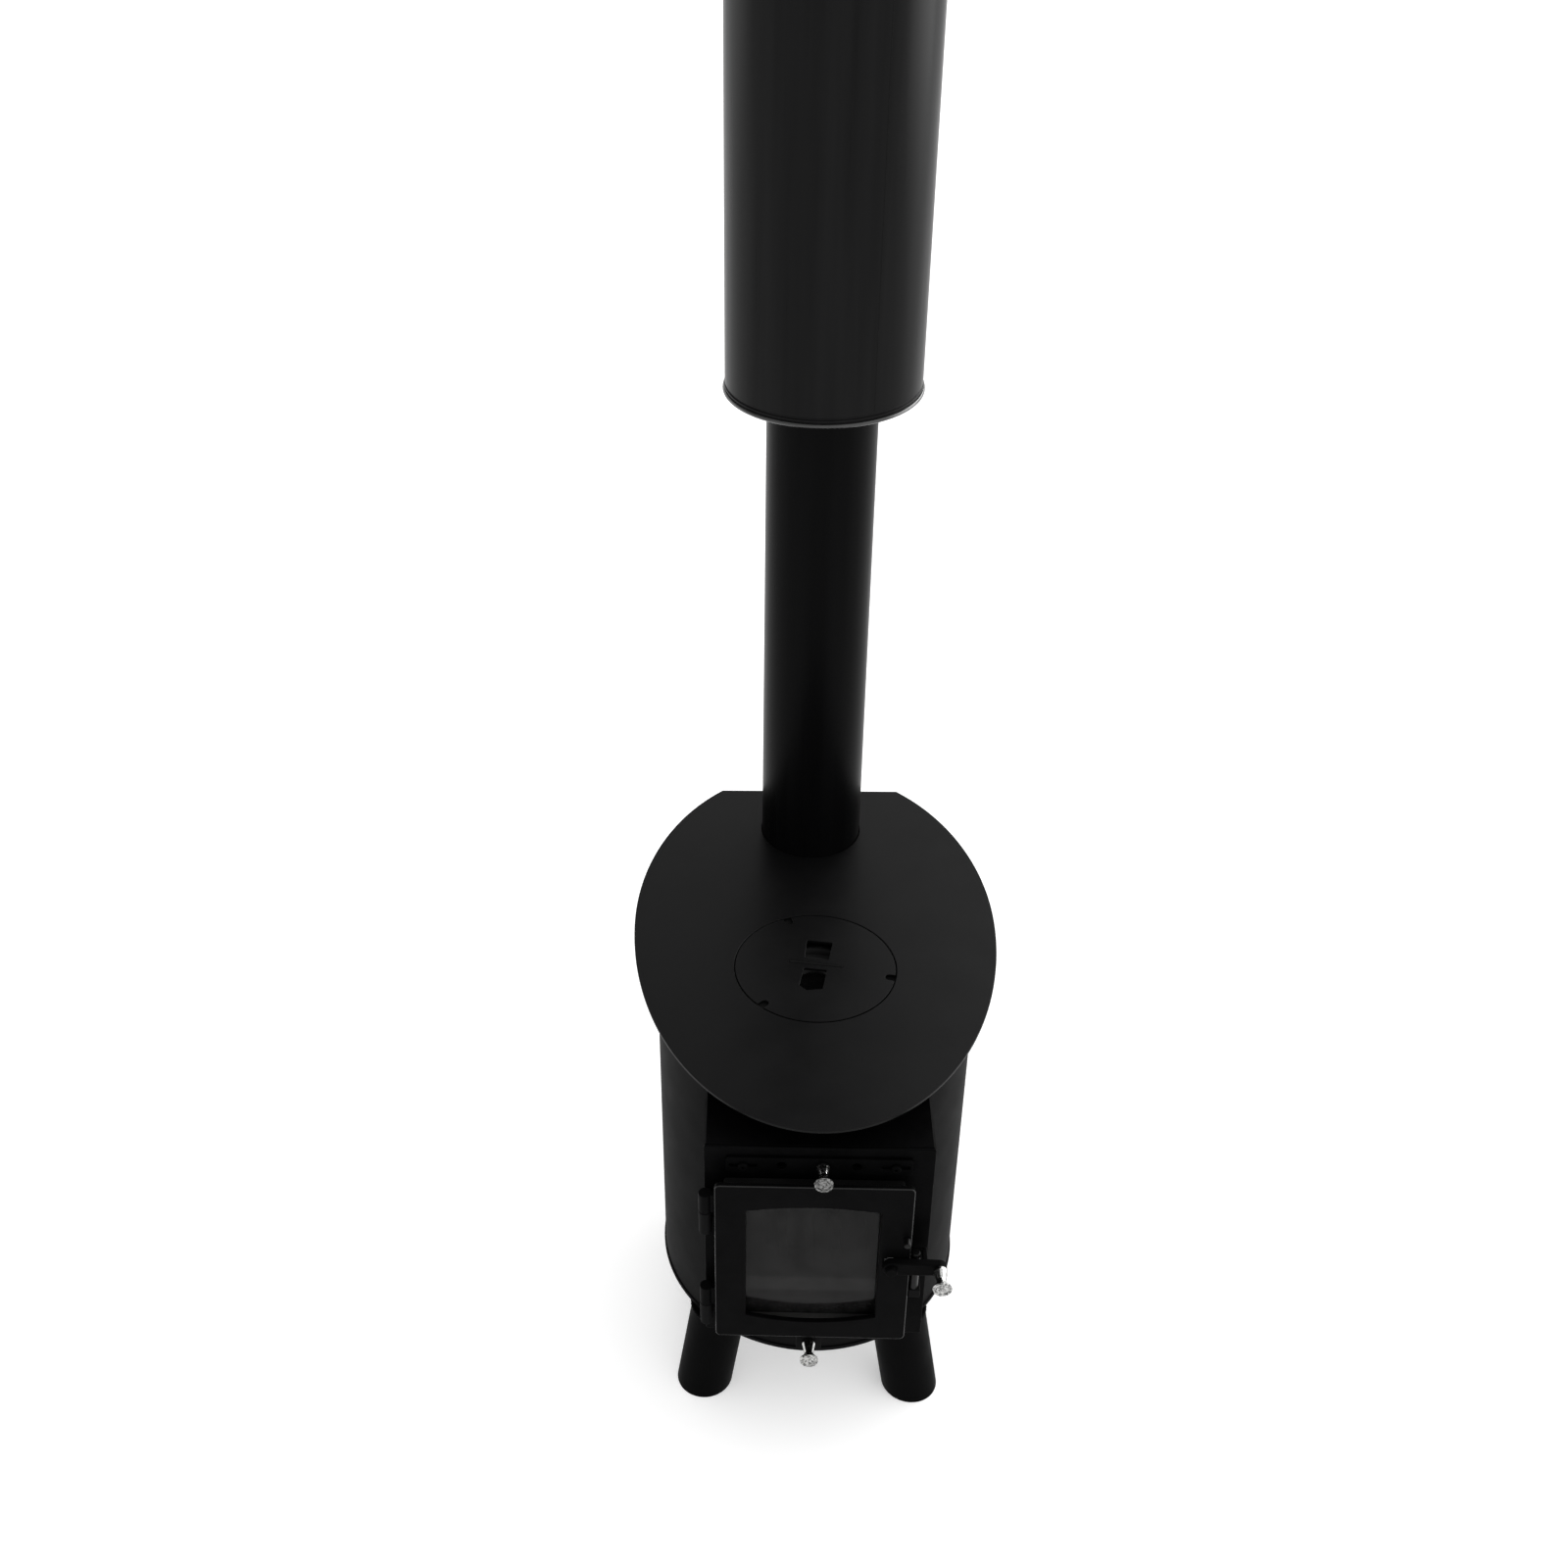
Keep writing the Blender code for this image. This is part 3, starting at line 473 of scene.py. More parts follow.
BODY_PAINT = StovePaint("body_paint", colour=(0.0028, 0.0028, 0.0029), roughness=(0.58, 0.64), specular=0.03,
                        contrast=0.12)
LEG_PAINT = StovePaint("leg_paint", colour=(0.0014, 0.0014, 0.0015), specular=0.02, contrast=0.2)
PLATE_PAINT = StovePaint("cooking_plate_paint", colour=(0.0028, 0.0028, 0.0029), roughness=(0.32, 0.40),
                         specular=0.07, cloud=9.0, contrast=0.15)
BOX_PAINT = StovePaint("door_box_paint", colour=(0.0014, 0.0014, 0.0015), specular=0.015, contrast=0.6, cloud=30.0)
DOOR_PAINT = StovePaint("door_paint", colour=(0.0018, 0.0018, 0.0019), specular=0.015, contrast=0.35, cloud=24.0)
# Painted highlight: a lighter, glossier paint on the door plate's rounded rims, standing in for the light that they
# catch.
EDGE_HIGHLIGHT_PAINT = StovePaint("painted_edge_highlight", colour=(0.0065, 0.0065, 0.0065), roughness=(0.22, 0.34),
                          specular=0.22, contrast=0.4, cloud=60.0)
POST_PAINT = StovePaint("post_paint", colour=(0.003, 0.003, 0.003), roughness=(0.24, 0.34), specular=0.10,
                        contrast=0.3, cloud=60.0)
# A paint a little lighter than the plate's: on the cooking plate's rounded rims it is a painted highlight, and the
# lifting bar is finished in it too.
SOFT_EDGE_PAINT = StovePaint("plate_edge_paint", colour=(0.0032, 0.0032, 0.0032), specular=0.07, contrast=0.3,
                             cloud=60.0)
POCKET_PAINT = StovePaint("pocket_paint", colour=(0.0012, 0.0012, 0.0012), roughness=(0.20, 0.30),
                          specular=0.10)
INNER_PAINT = StovePaint("sooted_steel", colour=(0.004, 0.004, 0.004), roughness=(0.7, 0.9), specular=0.04,
                         contrast=0.5)
IRON = StovePaint("cast_iron", colour=(0.012, 0.0115, 0.011), roughness=(0.55, 0.75), specular=0.2, grain=500.0,
                  grain_depth=0.0003)
JACKET_COAT = FlueCoat("casing_coating", colour=(0.0058, 0.0058, 0.0059), specular=0.05)
PIPE_COAT = FlueCoat("pipe_coating", colour=(0.0016, 0.0016, 0.0017), specular=0.03)
RIM_COAT = FlueCoat("rolled_rim_coating", colour=(0.016, 0.016, 0.016), roughness=(0.14, 0.22), specular=0.55)
TAPE = Fibre("sooted_glass_tape", colour=(0.024, 0.024, 0.023), stain=(0.015, 0.015, 0.015), scale=1400.0,
             depth=0.0002)
PIN_STEEL = PlainMetal("pin_steel", colour=(0.55, 0.55, 0.54), roughness=(0.16, 0.30))
LINER_STEEL = PlainMetal("brushed_liner_steel")
GLASS = SootyGlass("sooty_ceramic_glass")
BRAID = Fibre("glass_fibre_braid", colour=(0.20, 0.19, 0.18), stain=(0.06, 0.055, 0.05), scale=1400.0, depth=0.0003)
WOOL = Fibre("mineral_wool", colour=(0.50, 0.44, 0.30), stain=(0.38, 0.32, 0.20), scale=500.0, depth=0.001,
             squeeze=(1.0, 1.0, 0.3))
VERMICULITE = Fibre("sooted_vermiculite", colour=(0.42, 0.34, 0.24), stain=(0.03, 0.028, 0.026), scale=700.0,
                    depth=0.0004, soot=0.36)


# Shapes ---------------------------------------------------------------------------------------
def level(u: float, v: float, w: float) -> Vector:
    """A place on a level sheet: u along X, v along Y and w up."""
    return Vector((u, v, w))


def upright(u: float, v: float, w: float) -> Vector:
    """A place on an upright sheet: u along X, v up and w along Y."""
    return Vector((u, w, v))


def arc(middle: Point, radius: float | Point, start: float, end: float, count: int) -> list[Point]:
    """Points on an arc.

    Args:
        middle: The arc's middle.
        radius: One radius, or a pair for an oval.
        start: Where it starts, in degrees.
        end: Where it ends, in degrees.
        count: How many steps it has.

    Returns:
        count + 1 points.
    """
    rx, ry = radius if isinstance(radius, tuple) else (radius, radius)
    turns = [math.radians(start + (end - start) * i / count) for i in range(count + 1)]
    return [(middle[0] + rx * math.cos(t), middle[1] + ry * math.sin(t)) for t in turns]


def circle(middle: Point, radius: float, count: int = 64) -> list[Point]:
    """Points on a full circle."""
    return arc(middle, radius, 0, 360, count)[:-1]


def softened(points: Sequence[Point], radius: float, closed: bool = True, steps: int = 3) -> list[Point]:
    """Rounds the corners of an outline or a turning profile.

    Args:
        points: The outline's points in order.
        radius: The wished corner radius; short edges get less.
        closed: Whether the last point joins the first.
        steps: How many short edges replace a corner.

    Returns:
        The points with an arc in place of each sharp corner.
    """
    out: list[Point] = []
    count = len(points)
    for i, point in enumerate(points):
        if not closed and i in (0, count - 1):
            out.append(point)
            continue
        here = Vector(point)
        before = Vector(points[i - 1]) - here
        after = Vector(points[(i + 1) % count]) - here
        turn = before.angle(after, math.pi)
        if turn > math.radians(172):
            out.append(point)
            continue
        reach = min(radius / math.tan(turn / 2), 0.45 * before.length, 0.45 * after.length)
        a = here + before.normalized() * reach
        b = here + after.normalized() * reach
        for k in range(steps + 1):
            t = k / steps
            spot = a * (1 - t) ** 2 + here * 2 * t * (1 - t) + b * t * t
            out.append((spot.x, spot.y))
    return out


def rectangle(low: Point, high: Point, radius: float, steps: int = 5) -> list[Point]:
    """A rectangle with round corners."""
    (x0, y0), (x1, y1) = low, high
    return softened([(x0, y0), (x1, y0), (x1, y1), (x0, y1)], radius, steps=steps)


def settled(mesh: Solid) -> Solid:
    """Merges doubled points and turns every face outward."""
    bmesh.ops.remove_doubles(mesh, verts=mesh.verts, dist=0.000002)
    bmesh.ops.recalc_face_normals(mesh, faces=mesh.faces)
    return mesh


def turned(profile: Sequence[Point], at: Sequence[float], facing: Sequence[float] = (0, 0, 1), closed: bool = False,
           ease: float = 0.0005, steps: int = 96) -> Solid:
    """Turns a profile about an axis.

    Args:
        profile: Pairs of radius and height along the axis.
        at: Where height 0 lies on the axis.
        facing: The direction of growing height.
        closed: Whether the profile's last point joins its first.
        ease: The radius given to its corners.
        steps: Steps round the axis.

    Returns:
        The turned solid.
    """
    mesh = bmesh.new()
    points = softened(profile, ease, closed)
    verts = [mesh.verts.new((r, 0.0, h)) for r, h in points]
    pairs = list(zip(verts, verts[1:])) + ([(verts[-1], verts[0])] if closed else [])
    edges = [mesh.edges.new(pair) for pair in pairs]
    bmesh.ops.spin(mesh, geom=verts + edges, cent=(0, 0, 0), axis=(0, 0, 1), dvec=(0, 0, 0), angle=math.tau,
                   steps=steps, use_merge=True)
    settled(mesh)
    turn = Vector(facing).to_track_quat("Z", "Y").to_matrix().to_4x4()
    bmesh.ops.transform(mesh, matrix=Matrix.Translation(Vector(at)) @ turn, verts=mesh.verts)
    return mesh


def tube(outer: float, inner: float, low: float, high: float, at: Sequence[float], ease: float = 0.0004,
         steps: int = 96) -> Solid:
    """An upright tube with eased ends."""
    profile = [(outer, high), (outer, low), (inner, low), (inner, high)]
    return turned(profile, at, closed=True, ease=ease, steps=steps)


def rod(start: Sequence[float], end: Sequence[float], radius: float, ease: float = 0.0004,
        steps: int = 40) -> Solid:
    """A round bar between two points, with eased ends."""
    along = Vector(end) - Vector(start)
    profile = [(0.0, along.length), (radius, along.length), (radius, 0.0), (0.0, 0.0)]
    return turned(profile, start, along, ease=ease, steps=steps)


def block(low: Sequence[float], high: Sequence[float], ease: float = 0.0006) -> Solid:
    """A rectangular block with eased edges."""
    low, high = Vector(low), Vector(high)
    mesh = bmesh.new()
    bmesh.ops.create_cube(mesh, size=1.0)
    bmesh.ops.scale(mesh, vec=high - low, verts=mesh.verts)
    bmesh.ops.translate(mesh, vec=(low + high) / 2, verts=mesh.verts)
    bmesh.ops.bevel(mesh, geom=mesh.edges[:], offset=ease, segments=3, profile=0.5, affect="EDGES", material=-1)
    return mesh


def inward(points: Sequence[Point], hole: bool) -> tuple[list[Vector], list[Vector]]:
    """Sorts an outline so that the metal is on its left, and finds the way into the metal.

    Args:
        points: The outline.
        hole: Whether the metal lies outside it.

    Returns:
        Its points, and for each the step that moves both edges in by one.
    """
    area = sum(a[0] * b[1] - b[0] * a[1] for a, b in zip(points, list(points[1:]) + [points[0]]))
    ordered = [Vector(p) for p in (points if (area > 0) != hole else list(points)[::-1])]
    steps = []
    for i, here in enumerate(ordered):
        a = (here - ordered[i - 1]).normalized()
        b = (ordered[(i + 1) % len(ordered)] - here).normalized()
        left, right = Vector((-a.y, a.x)), Vector((-b.y, b.x))
        steps.append((left + right) / max(0.3, 1 + left.dot(right)))
    return ordered, steps


def sheet(outlines: Sequence[Sequence[Point]], low: float, high: float, place: Place = level,
          ease: float = 0.0005) -> Solid:
    """Cuts a plate from sheet metal and rounds over all its rims.

    Args:
        outlines: The rim first, then its holes.
        low: Where the plate starts along its thickness.
        high: Where it ends.
        place: Turns a flat place and a height into a point.
        ease: The radius of the rounded rims.

    Returns:
        The plate.
    """
    mesh = bmesh.new()
    ease = min(ease, 0.45 * (high - low))
    turns = [math.radians(30 * k) for k in range(4)]
    rims = [(ease * (1 - math.sin(t)), high - ease * (1 - math.cos(t))) for t in turns]
    rims += [(inset, low + high - w) for inset, w in reversed(rims)]
    first: list[bmesh.types.BMEdge] = []
    last: list[bmesh.types.BMEdge] = []
    for number, outline in enumerate(outlines):
        points, steps = inward(outline, number > 0)
        loops = []
        for inset, w in rims:
            verts = [mesh.verts.new(place(*(p + s * inset), w)) for p, s in zip(points, steps)]
            loops.append([mesh.edges.new((a, b)) for a, b in zip(verts, verts[1:] + verts[:1])])
        for step, (a, b) in enumerate(zip(loops, loops[1:])):
            made = bmesh.ops.bridge_loops(mesh, edges=a + b)["faces"]
            for face in made:
                # On the outer rim the rounded faces take the second material, the painted rim highlight; the straight
                # edge and the holes keep the first.
                face.material_index = 0 if number or step == len(turns) - 1 else 1
        first += loops[0]
        last += loops[-1]
    for rim in (first, last):
        bmesh.ops.triangle_fill(mesh, use_beauty=True, edges=rim)
    bmesh.ops.recalc_face_normals(mesh, faces=mesh.faces)
    return mesh


def swept(path: Sequence[Vector], radius: Callable[[float, float], float], sides: int = 12,
          closed: bool = False) -> Solid:
    """Sweeps a round section along a path.

    Args:
        path: The points it follows.
        radius: Gives the radius for a distance along the path and a turn round it.
        sides: Sides of the section.
        closed: Whether the path joins its own start.

    Returns:
        The swept solid.
    """
    mesh = bmesh.new()
    count = len(path)
    loops = []
    travelled = 0.0
    for i, here in enumerate(path):
        ahead = path[(i + 1) % count] if closed or i < count - 1 else here
        behind = path[i - 1] if closed or i > 0 else here
        if i:
            travelled += (here - path[i - 1]).length
        frame_turn = (ahead - behind).to_track_quat("Z", "Y")
        verts = []
        for k in range(sides):
            turn = math.tau * k / sides
            reach = radius(travelled, turn)
            spot = Vector((reach * math.cos(turn), reach * math.sin(turn), 0))
            verts.append(mesh.verts.new(here + frame_turn @ spot))
        loops.append([mesh.edges.new((a, b)) for a, b in zip(verts, verts[1:] + verts[:1])])
    for a, b in zip(loops, loops[1:] + loops[:1] if closed else loops[1:]):
        bmesh.ops.bridge_loops(mesh, edges=a + b)
    if not closed:
        bmesh.ops.holes_fill(mesh, edges=loops[0] + loops[-1])
    bmesh.ops.recalc_face_normals(mesh, faces=mesh.faces)
    return mesh


def joined(*parts: Solid) -> Solid:
    """Puts several solids into one mesh, as if welded."""
    mesh, *others = parts
    for other in others:
        carrier = bpy.data.meshes.new("carrier")
        other.to_mesh(carrier)
        other.free()
        mesh.from_mesh(carrier)
        bpy.data.meshes.remove(carrier)
    return mesh


def cut(mesh: Solid, *tools: Solid) -> Solid:
    """Cuts tools out of a solid.

    Args:
        mesh: The solid.
        tools: The shapes to take away.

    Returns:
        What is left.
    """
    made = []
    for shape in (mesh, *tools):
        data = bpy.data.meshes.new("work")
        shape.to_mesh(data)
        shape.free()
        work = bpy.data.objects.new("work", data)
        bpy.context.scene.collection.objects.link(work)
        made.append(work)
    for tool in made[1:]:
        modifier = made[0].modifiers.new("cut", "BOOLEAN")
        modifier.operation = "DIFFERENCE"
        modifier.solver = "EXACT"
        modifier.object = tool
    bpy.context.view_layer.update()
    left = bmesh.new()
    left.from_object(made[0], bpy.context.evaluated_depsgraph_get())
    for work in made:
        data = work.data
        bpy.data.objects.remove(work)
        bpy.data.meshes.remove(data)
    return left


def ripple(size: float, pitch: float) -> Callable[[float, float], float]:
    """The swelling radius of a hand-laid weld bead."""
    return lambda travelled, turn: size * (1 + 0.18 * math.sin(math.tau * travelled / pitch))


def fit(name: str, mesh: Solid, finish: Finish, body: Body, slot: Slot, *stands_for: str,
        edge: Finish | None = None) -> bpy.types.Object:
    """Makes a finished piece and hangs it on its body.

    Args:
        name: The piece's name.
        mesh: Its shape, in the frame's own coordinates.
        finish: Its finish.
        body: The body it moves with.
        slot: The record's slot for it; not used.
        stands_for: The frame's nodes that it replaces.
        edge: A lighter finish for the rounded rims, which paints their highlight, if they differ.

    Returns:
        The piece.
    """
    data = bpy.data.meshes.new(name)
    mesh.to_mesh(data)
    mesh.free()
    piece = bpy.data.objects.new(name, data)
    bpy.context.scene.collection.objects.link(piece)
    data.shade_smooth()
    data.set_sharp_from_angle(angle=math.radians(38))
    weights = piece.modifiers.new("flat_faces", "WEIGHTED_NORMAL")
    weights.keep_sharp = True
    for coat in (finish, edge) if edge else (finish,):
        data.materials.append(coat.material())
    if edge is None:
        for face in data.polygons:
            face.material_index = 0
    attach(piece, body.value)
    if stands_for:
        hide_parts(*stands_for)
    LOG.info("%s: %d faces, rides on %s", name, len(data.polygons), body.value)
    return piece


# Sub-assemblies -------------------------------------------------------------------------------
@dataclass
class Shell:
    """The round body on its base plate, open to the door box in front and to the flue behind."""

    axis_y: float = -0.029
    radius: float = 0.151
    wall: float = 0.004
    foot: float = 0.1073
    base: tuple[float, float, float] = (0.1525, 0.102, 0.107)
    steps: int = 128
    doorway: tuple[int, float, float] = (14, 0.206, 0.446)
    smoke_way: tuple[int, float, float] = (8, 0.378, 0.462)
    top: float = 0.4767

    def build(self) -> None:
        """Builds the body, its base and the ring that carries the lid."""
        fit("round_body", self.wrapper(), BODY_PAINT, Body.STOVE, Slot.STEEL, "body_shell")
        radius, low, high = self.base
        outline = [(0, high), (radius, high), (radius, low), (0, low)]
        disc = turned(outline, (0, self.axis_y, 0), ease=0.001, steps=128)
        fit("base_disc", disc, BODY_PAINT, Body.STOVE, Slot.STEEL, "base_plate")
        ring = tube(0.086, 0.067, self.top - 0.006, self.top, (0, self.axis_y, 0))
        fit("lid_seat_ring", ring, INNER_PAINT, Body.STOVE, Slot.STEEL, "lid_support_ring")

    def wrapper(self) -> Solid:
        """Rolls the body and leaves its two openings.

        Returns:
            The body's solid.
        """
        mesh = bmesh.new()
        heights = [self.foot, 0.15, *self.doorway[1:2], 0.30, self.smoke_way[1], self.doorway[2], self.smoke_way[2],
                   self.top]
        verts = [mesh.verts.new((0, -self.radius, z)) for z in heights]
        edges = [mesh.edges.new(pair) for pair in zip(verts, verts[1:])]
        bmesh.ops.spin(mesh, geom=verts + edges, cent=(0, 0, 0), axis=(0, 0, 1), dvec=(0, 0, 0), angle=math.tau,
                       steps=self.steps, use_merge=True)
        bmesh.ops.remove_doubles(mesh, verts=mesh.verts, dist=0.000002)
        gone = []
        for face in mesh.faces:
            middle = face.calc_center_median()
            for (half, low, high), side in ((self.doorway, -1), (self.smoke_way, 1)):
                turn = math.atan2(abs(middle.x), side * middle.y)
                if turn < half * math.tau / self.steps and low < middle.z < high:
                    gone.append(face)
        bmesh.ops.delete(mesh, geom=gone, context="FACES")
        bmesh.ops.recalc_face_normals(mesh, faces=mesh.faces)
        outer = mesh.faces[0]
        if outer.normal.xy.dot(outer.calc_center_median().xy) < 0:
            bmesh.ops.reverse_faces(mesh, faces=mesh.faces)
        bmesh.ops.solidify(mesh, geom=mesh.faces[:], thickness=self.wall)
        reach = max(v.co.xy.length for v in mesh.verts)
        if reach > self.radius + 0.001:
            bmesh.ops.scale(mesh, vec=(self.radius / reach, self.radius / reach, 1), verts=mesh.verts)
        bmesh.ops.translate(mesh, vec=(0, self.axis_y, 0), verts=mesh.verts)
        return mesh


@dataclass
class Legs:
    """Four splayed tube legs, welded under the base."""

    axis_y: float = -0.029
    spread: float = 0.1075
    lean: float = math.tan(math.radians(9.3))
    outer: float = 0.0285
    inner: float = 0.0255
    top: float = 0.1017
    bead: float = 0.0016

    def build(self) -> None:
        """Builds the legs and their weld beads."""
        for side, sx in (("left", -1), ("right", 1)):
            for end, sy in (("front", -1), ("rear", 1)):
                foot = Vector((sx * self.spread, self.axis_y + sy * self.spread, 0))
                step = Vector((-sx * self.lean, -sy * self.lean, 1))
                node = f"leg_{end}_{side}"
                fit(f"{node}_tube", self.leg(foot, step), LEG_PAINT, Body.STOVE, Slot.STEEL, node)
                fit(f"{node}_weld", self.weld(foot, step), LEG_PAINT, Body.STOVE, Slot.STEEL)

    def leg(self, foot: Vector, step: Vector) -> Solid:
        """Cuts one leg from tube.

        Args:
            foot: The middle of its foot.
            step: Its lean, for each metre of height.

        Returns:
            The leg's solid.
        """
        solid = rod(foot - step * 0.05, foot + step * 0.16, self.outer, steps=64)
        for height, down in ((0.0, True), (self.top, False)):
            everything = solid.verts[:] + solid.edges[:] + solid.faces[:]
            bmesh.ops.bisect_plane(solid, geom=everything, plane_co=(0, 0, height), plane_no=(0, 0, 1),
                                   clear_inner=down, clear_outer=not down)
            bmesh.ops.holes_fill(solid, edges=[e for e in solid.edges if e.is_boundary])
        rims = [e for e in solid.edges if len(e.link_faces) == 2 and e.calc_face_angle() > 1.0]
        bmesh.ops.bevel(solid, geom=rims, offset=0.0005, segments=2, profile=0.5, affect="EDGES", material=-1)
        return cut(solid, rod(foot - step * 0.06, foot + step * (self.top - 0.012), self.inner, steps=64))

    def weld(self, foot: Vector, step: Vector) -> Solid:
        """Lays the bead round the top of one leg.

        Args:
            foot: The middle of the leg's foot.
            step: Its lean, for each metre of height.

        Returns:
            The bead's solid.
        """
        along = step.normalized()
        across = along.orthogonal().normalized()
        other = along.cross(across)
        centre = foot + step * (self.top - 0.0012)
        path = []
        for k in range(90):
            turn = math.tau * k / 90
            point = centre + (across * math.cos(turn) + other * math.sin(turn)) * self.outer
            path.append(point - along * ((point.z - centre.z) / along.z))
        return swept(path, ripple(self.bead, 0.0042), 8, closed=True)


@dataclass
class CookingTop:
    """The oval cooking plate with its lid hole and flue hole."""

    top: float = 0.480
    thick: float = 0.003
    half_width: float = 0.1765
    widest_y: float = 0.041
    front_length: float = 0.2835
    back_length: float = 0.2579
    back_y: float = 0.2595
    lid_hole: tuple[float, float] = (-0.029, 0.0775)
    flue_hole: tuple[float, float] = (0.193, 0.0513)

    def build(self) -> None:
        """Builds the plate."""
        cut_turn = math.degrees(math.asin((self.back_y - self.widest_y) / self.back_length))
        middle = (0.0, self.widest_y)
        front = arc(middle, (self.half_width, self.front_length), 180, 360, 96)
        right = arc(middle, (self.half_width, self.back_length), 0, cut_turn, 32)
        left = arc(middle, (self.half_width, self.back_length), 180 - cut_turn, 180, 32)
        corner = right[-1]
        between = [(corner[0] * (1 - k / 8), self.back_y) for k in range(1, 16)]
        rim = front + right[1:] + between + left[:-1]
        holes = [circle((0.0, y), r, 128) for y, r in (self.lid_hole, self.flue_hole)]
        plate = sheet([rim] + holes, self.top - self.thick, self.top, ease=0.0005)
        # Its rounded rims take a lighter paint: a painted highlight.
        fit("cooking_plate", plate, PLATE_PAINT, Body.STOVE, Slot.STEEL, "top_plate", edge=SOFT_EDGE_PAINT)


@dataclass
class HotplateLid:
    """The lift-out lid: two finger openings with a lifting bar between them, over a dished pocket."""

    top: float = 0.480
    thick: float = 0.003
    axis_y: float = -0.029
    radius: float = 0.0763
    turn: float = math.radians(-8.0)
    notches: tuple[float, ...] = (-3.0, 118.0, 235.0)
    notch: Point = (0.0040, 0.0095)
    rear_hole: tuple[Point, ...] = ((-0.0115, 0.0115), (0.0115, 0.0115), (0.0125, 0.0380), (-0.0125, 0.0380))
    front_hole: tuple[Point, ...] = ((-0.0105, -0.0025), (-0.0120, -0.0280), (-0.0045, -0.0340), (0.0105, -0.0300),
                                     (0.0115, -0.0025))
    bar: tuple[float, float, float, float] = (0.0255, 0.0045, 0.0011, 0.0004)

    def laid(self, points: Iterable[Point]) -> list[Point]:
        """Turns points with the lid and sets them round its middle."""
        c, s = math.cos(self.turn), math.sin(self.turn)
        return [(c * x - s * y, self.axis_y + s * x + c * y) for x, y in points]

    def rim(self) -> list[Point]:
        """The lid's edge with its three lifting notches.

        Returns:
            The outline, before it is turned.
        """
        half, depth = self.notch
        gap = math.degrees(math.asin(half / self.radius))
        points: list[Point] = []
        turns = sorted(n % 360 for n in self.notches)
        for here, following in zip(turns, turns[1:] + [turns[0] + 360]):
            points += arc((0, 0), self.radius, here + gap, following - gap, 42)
            t = math.radians(following)
            out, side = Vector((math.cos(t), math.sin(t))), Vector((-math.sin(t), math.cos(t)))
            base = out * (self.radius - depth + half)
            for k in range(7):
                a = math.pi * k / 6
                spot = base - side * half * math.cos(a) - out * half * math.sin(a)
                points.append((spot.x, spot.y))
        return points

    def build(self) -> None:
        """Builds the lid, its bar and its pocket."""
        half, y, radius, sink = self.bar
        holes = [self.laid(softened(hole, 0.0016, steps=4)) for hole in (self.rear_hole, self.front_hole)]
        plate = sheet([self.laid(self.rim())] + holes, self.top - self.thick, self.top, ease=0.0003)
        ends = [Vector((*p, self.top - sink)) for p in self.laid([(-half, y), (half, y)])]
        along = (ends[1] - ends[0]).normalized() * 2 * GAP
        plate = cut(plate, rod(ends[0] - along, ends[1] + along, radius + 2 * GAP, 0.0002, 24))
        fit("hotplate_lid_plate", plate, PLATE_PAINT, Body.LID, Slot.STEEL, "hotplate_lid")
        bar = rod(ends[0], ends[1], radius, 0.0005, 24)
        fit("lifting_bar", bar, SOFT_EDGE_PAINT, Body.LID, Slot.STEEL, "lid_lift_bar")
        top = self.top - self.thick - GAP
        cup = [(0.0440, top), (0.0435, top - 0.008), (0.036, top - 0.019), (0.020, top - 0.024), (0.0, top - 0.025),
               (0.0, top - 0.0235), (0.0195, top - 0.0225), (0.035, top - 0.0178), (0.042, top - 0.0075), (0.0425, top)]
        outer, inner = softened(cup[:5], 0.012, False, 6), softened(cup[5:], 0.012, False, 6)
        pocket = turned(outer + inner + [outer[0]], (0, self.axis_y + 0.002, 0), ease=0.0)
        fit("lid_dish", pocket, POCKET_PAINT, Body.LID, Slot.STEEL, "lid_pocket")


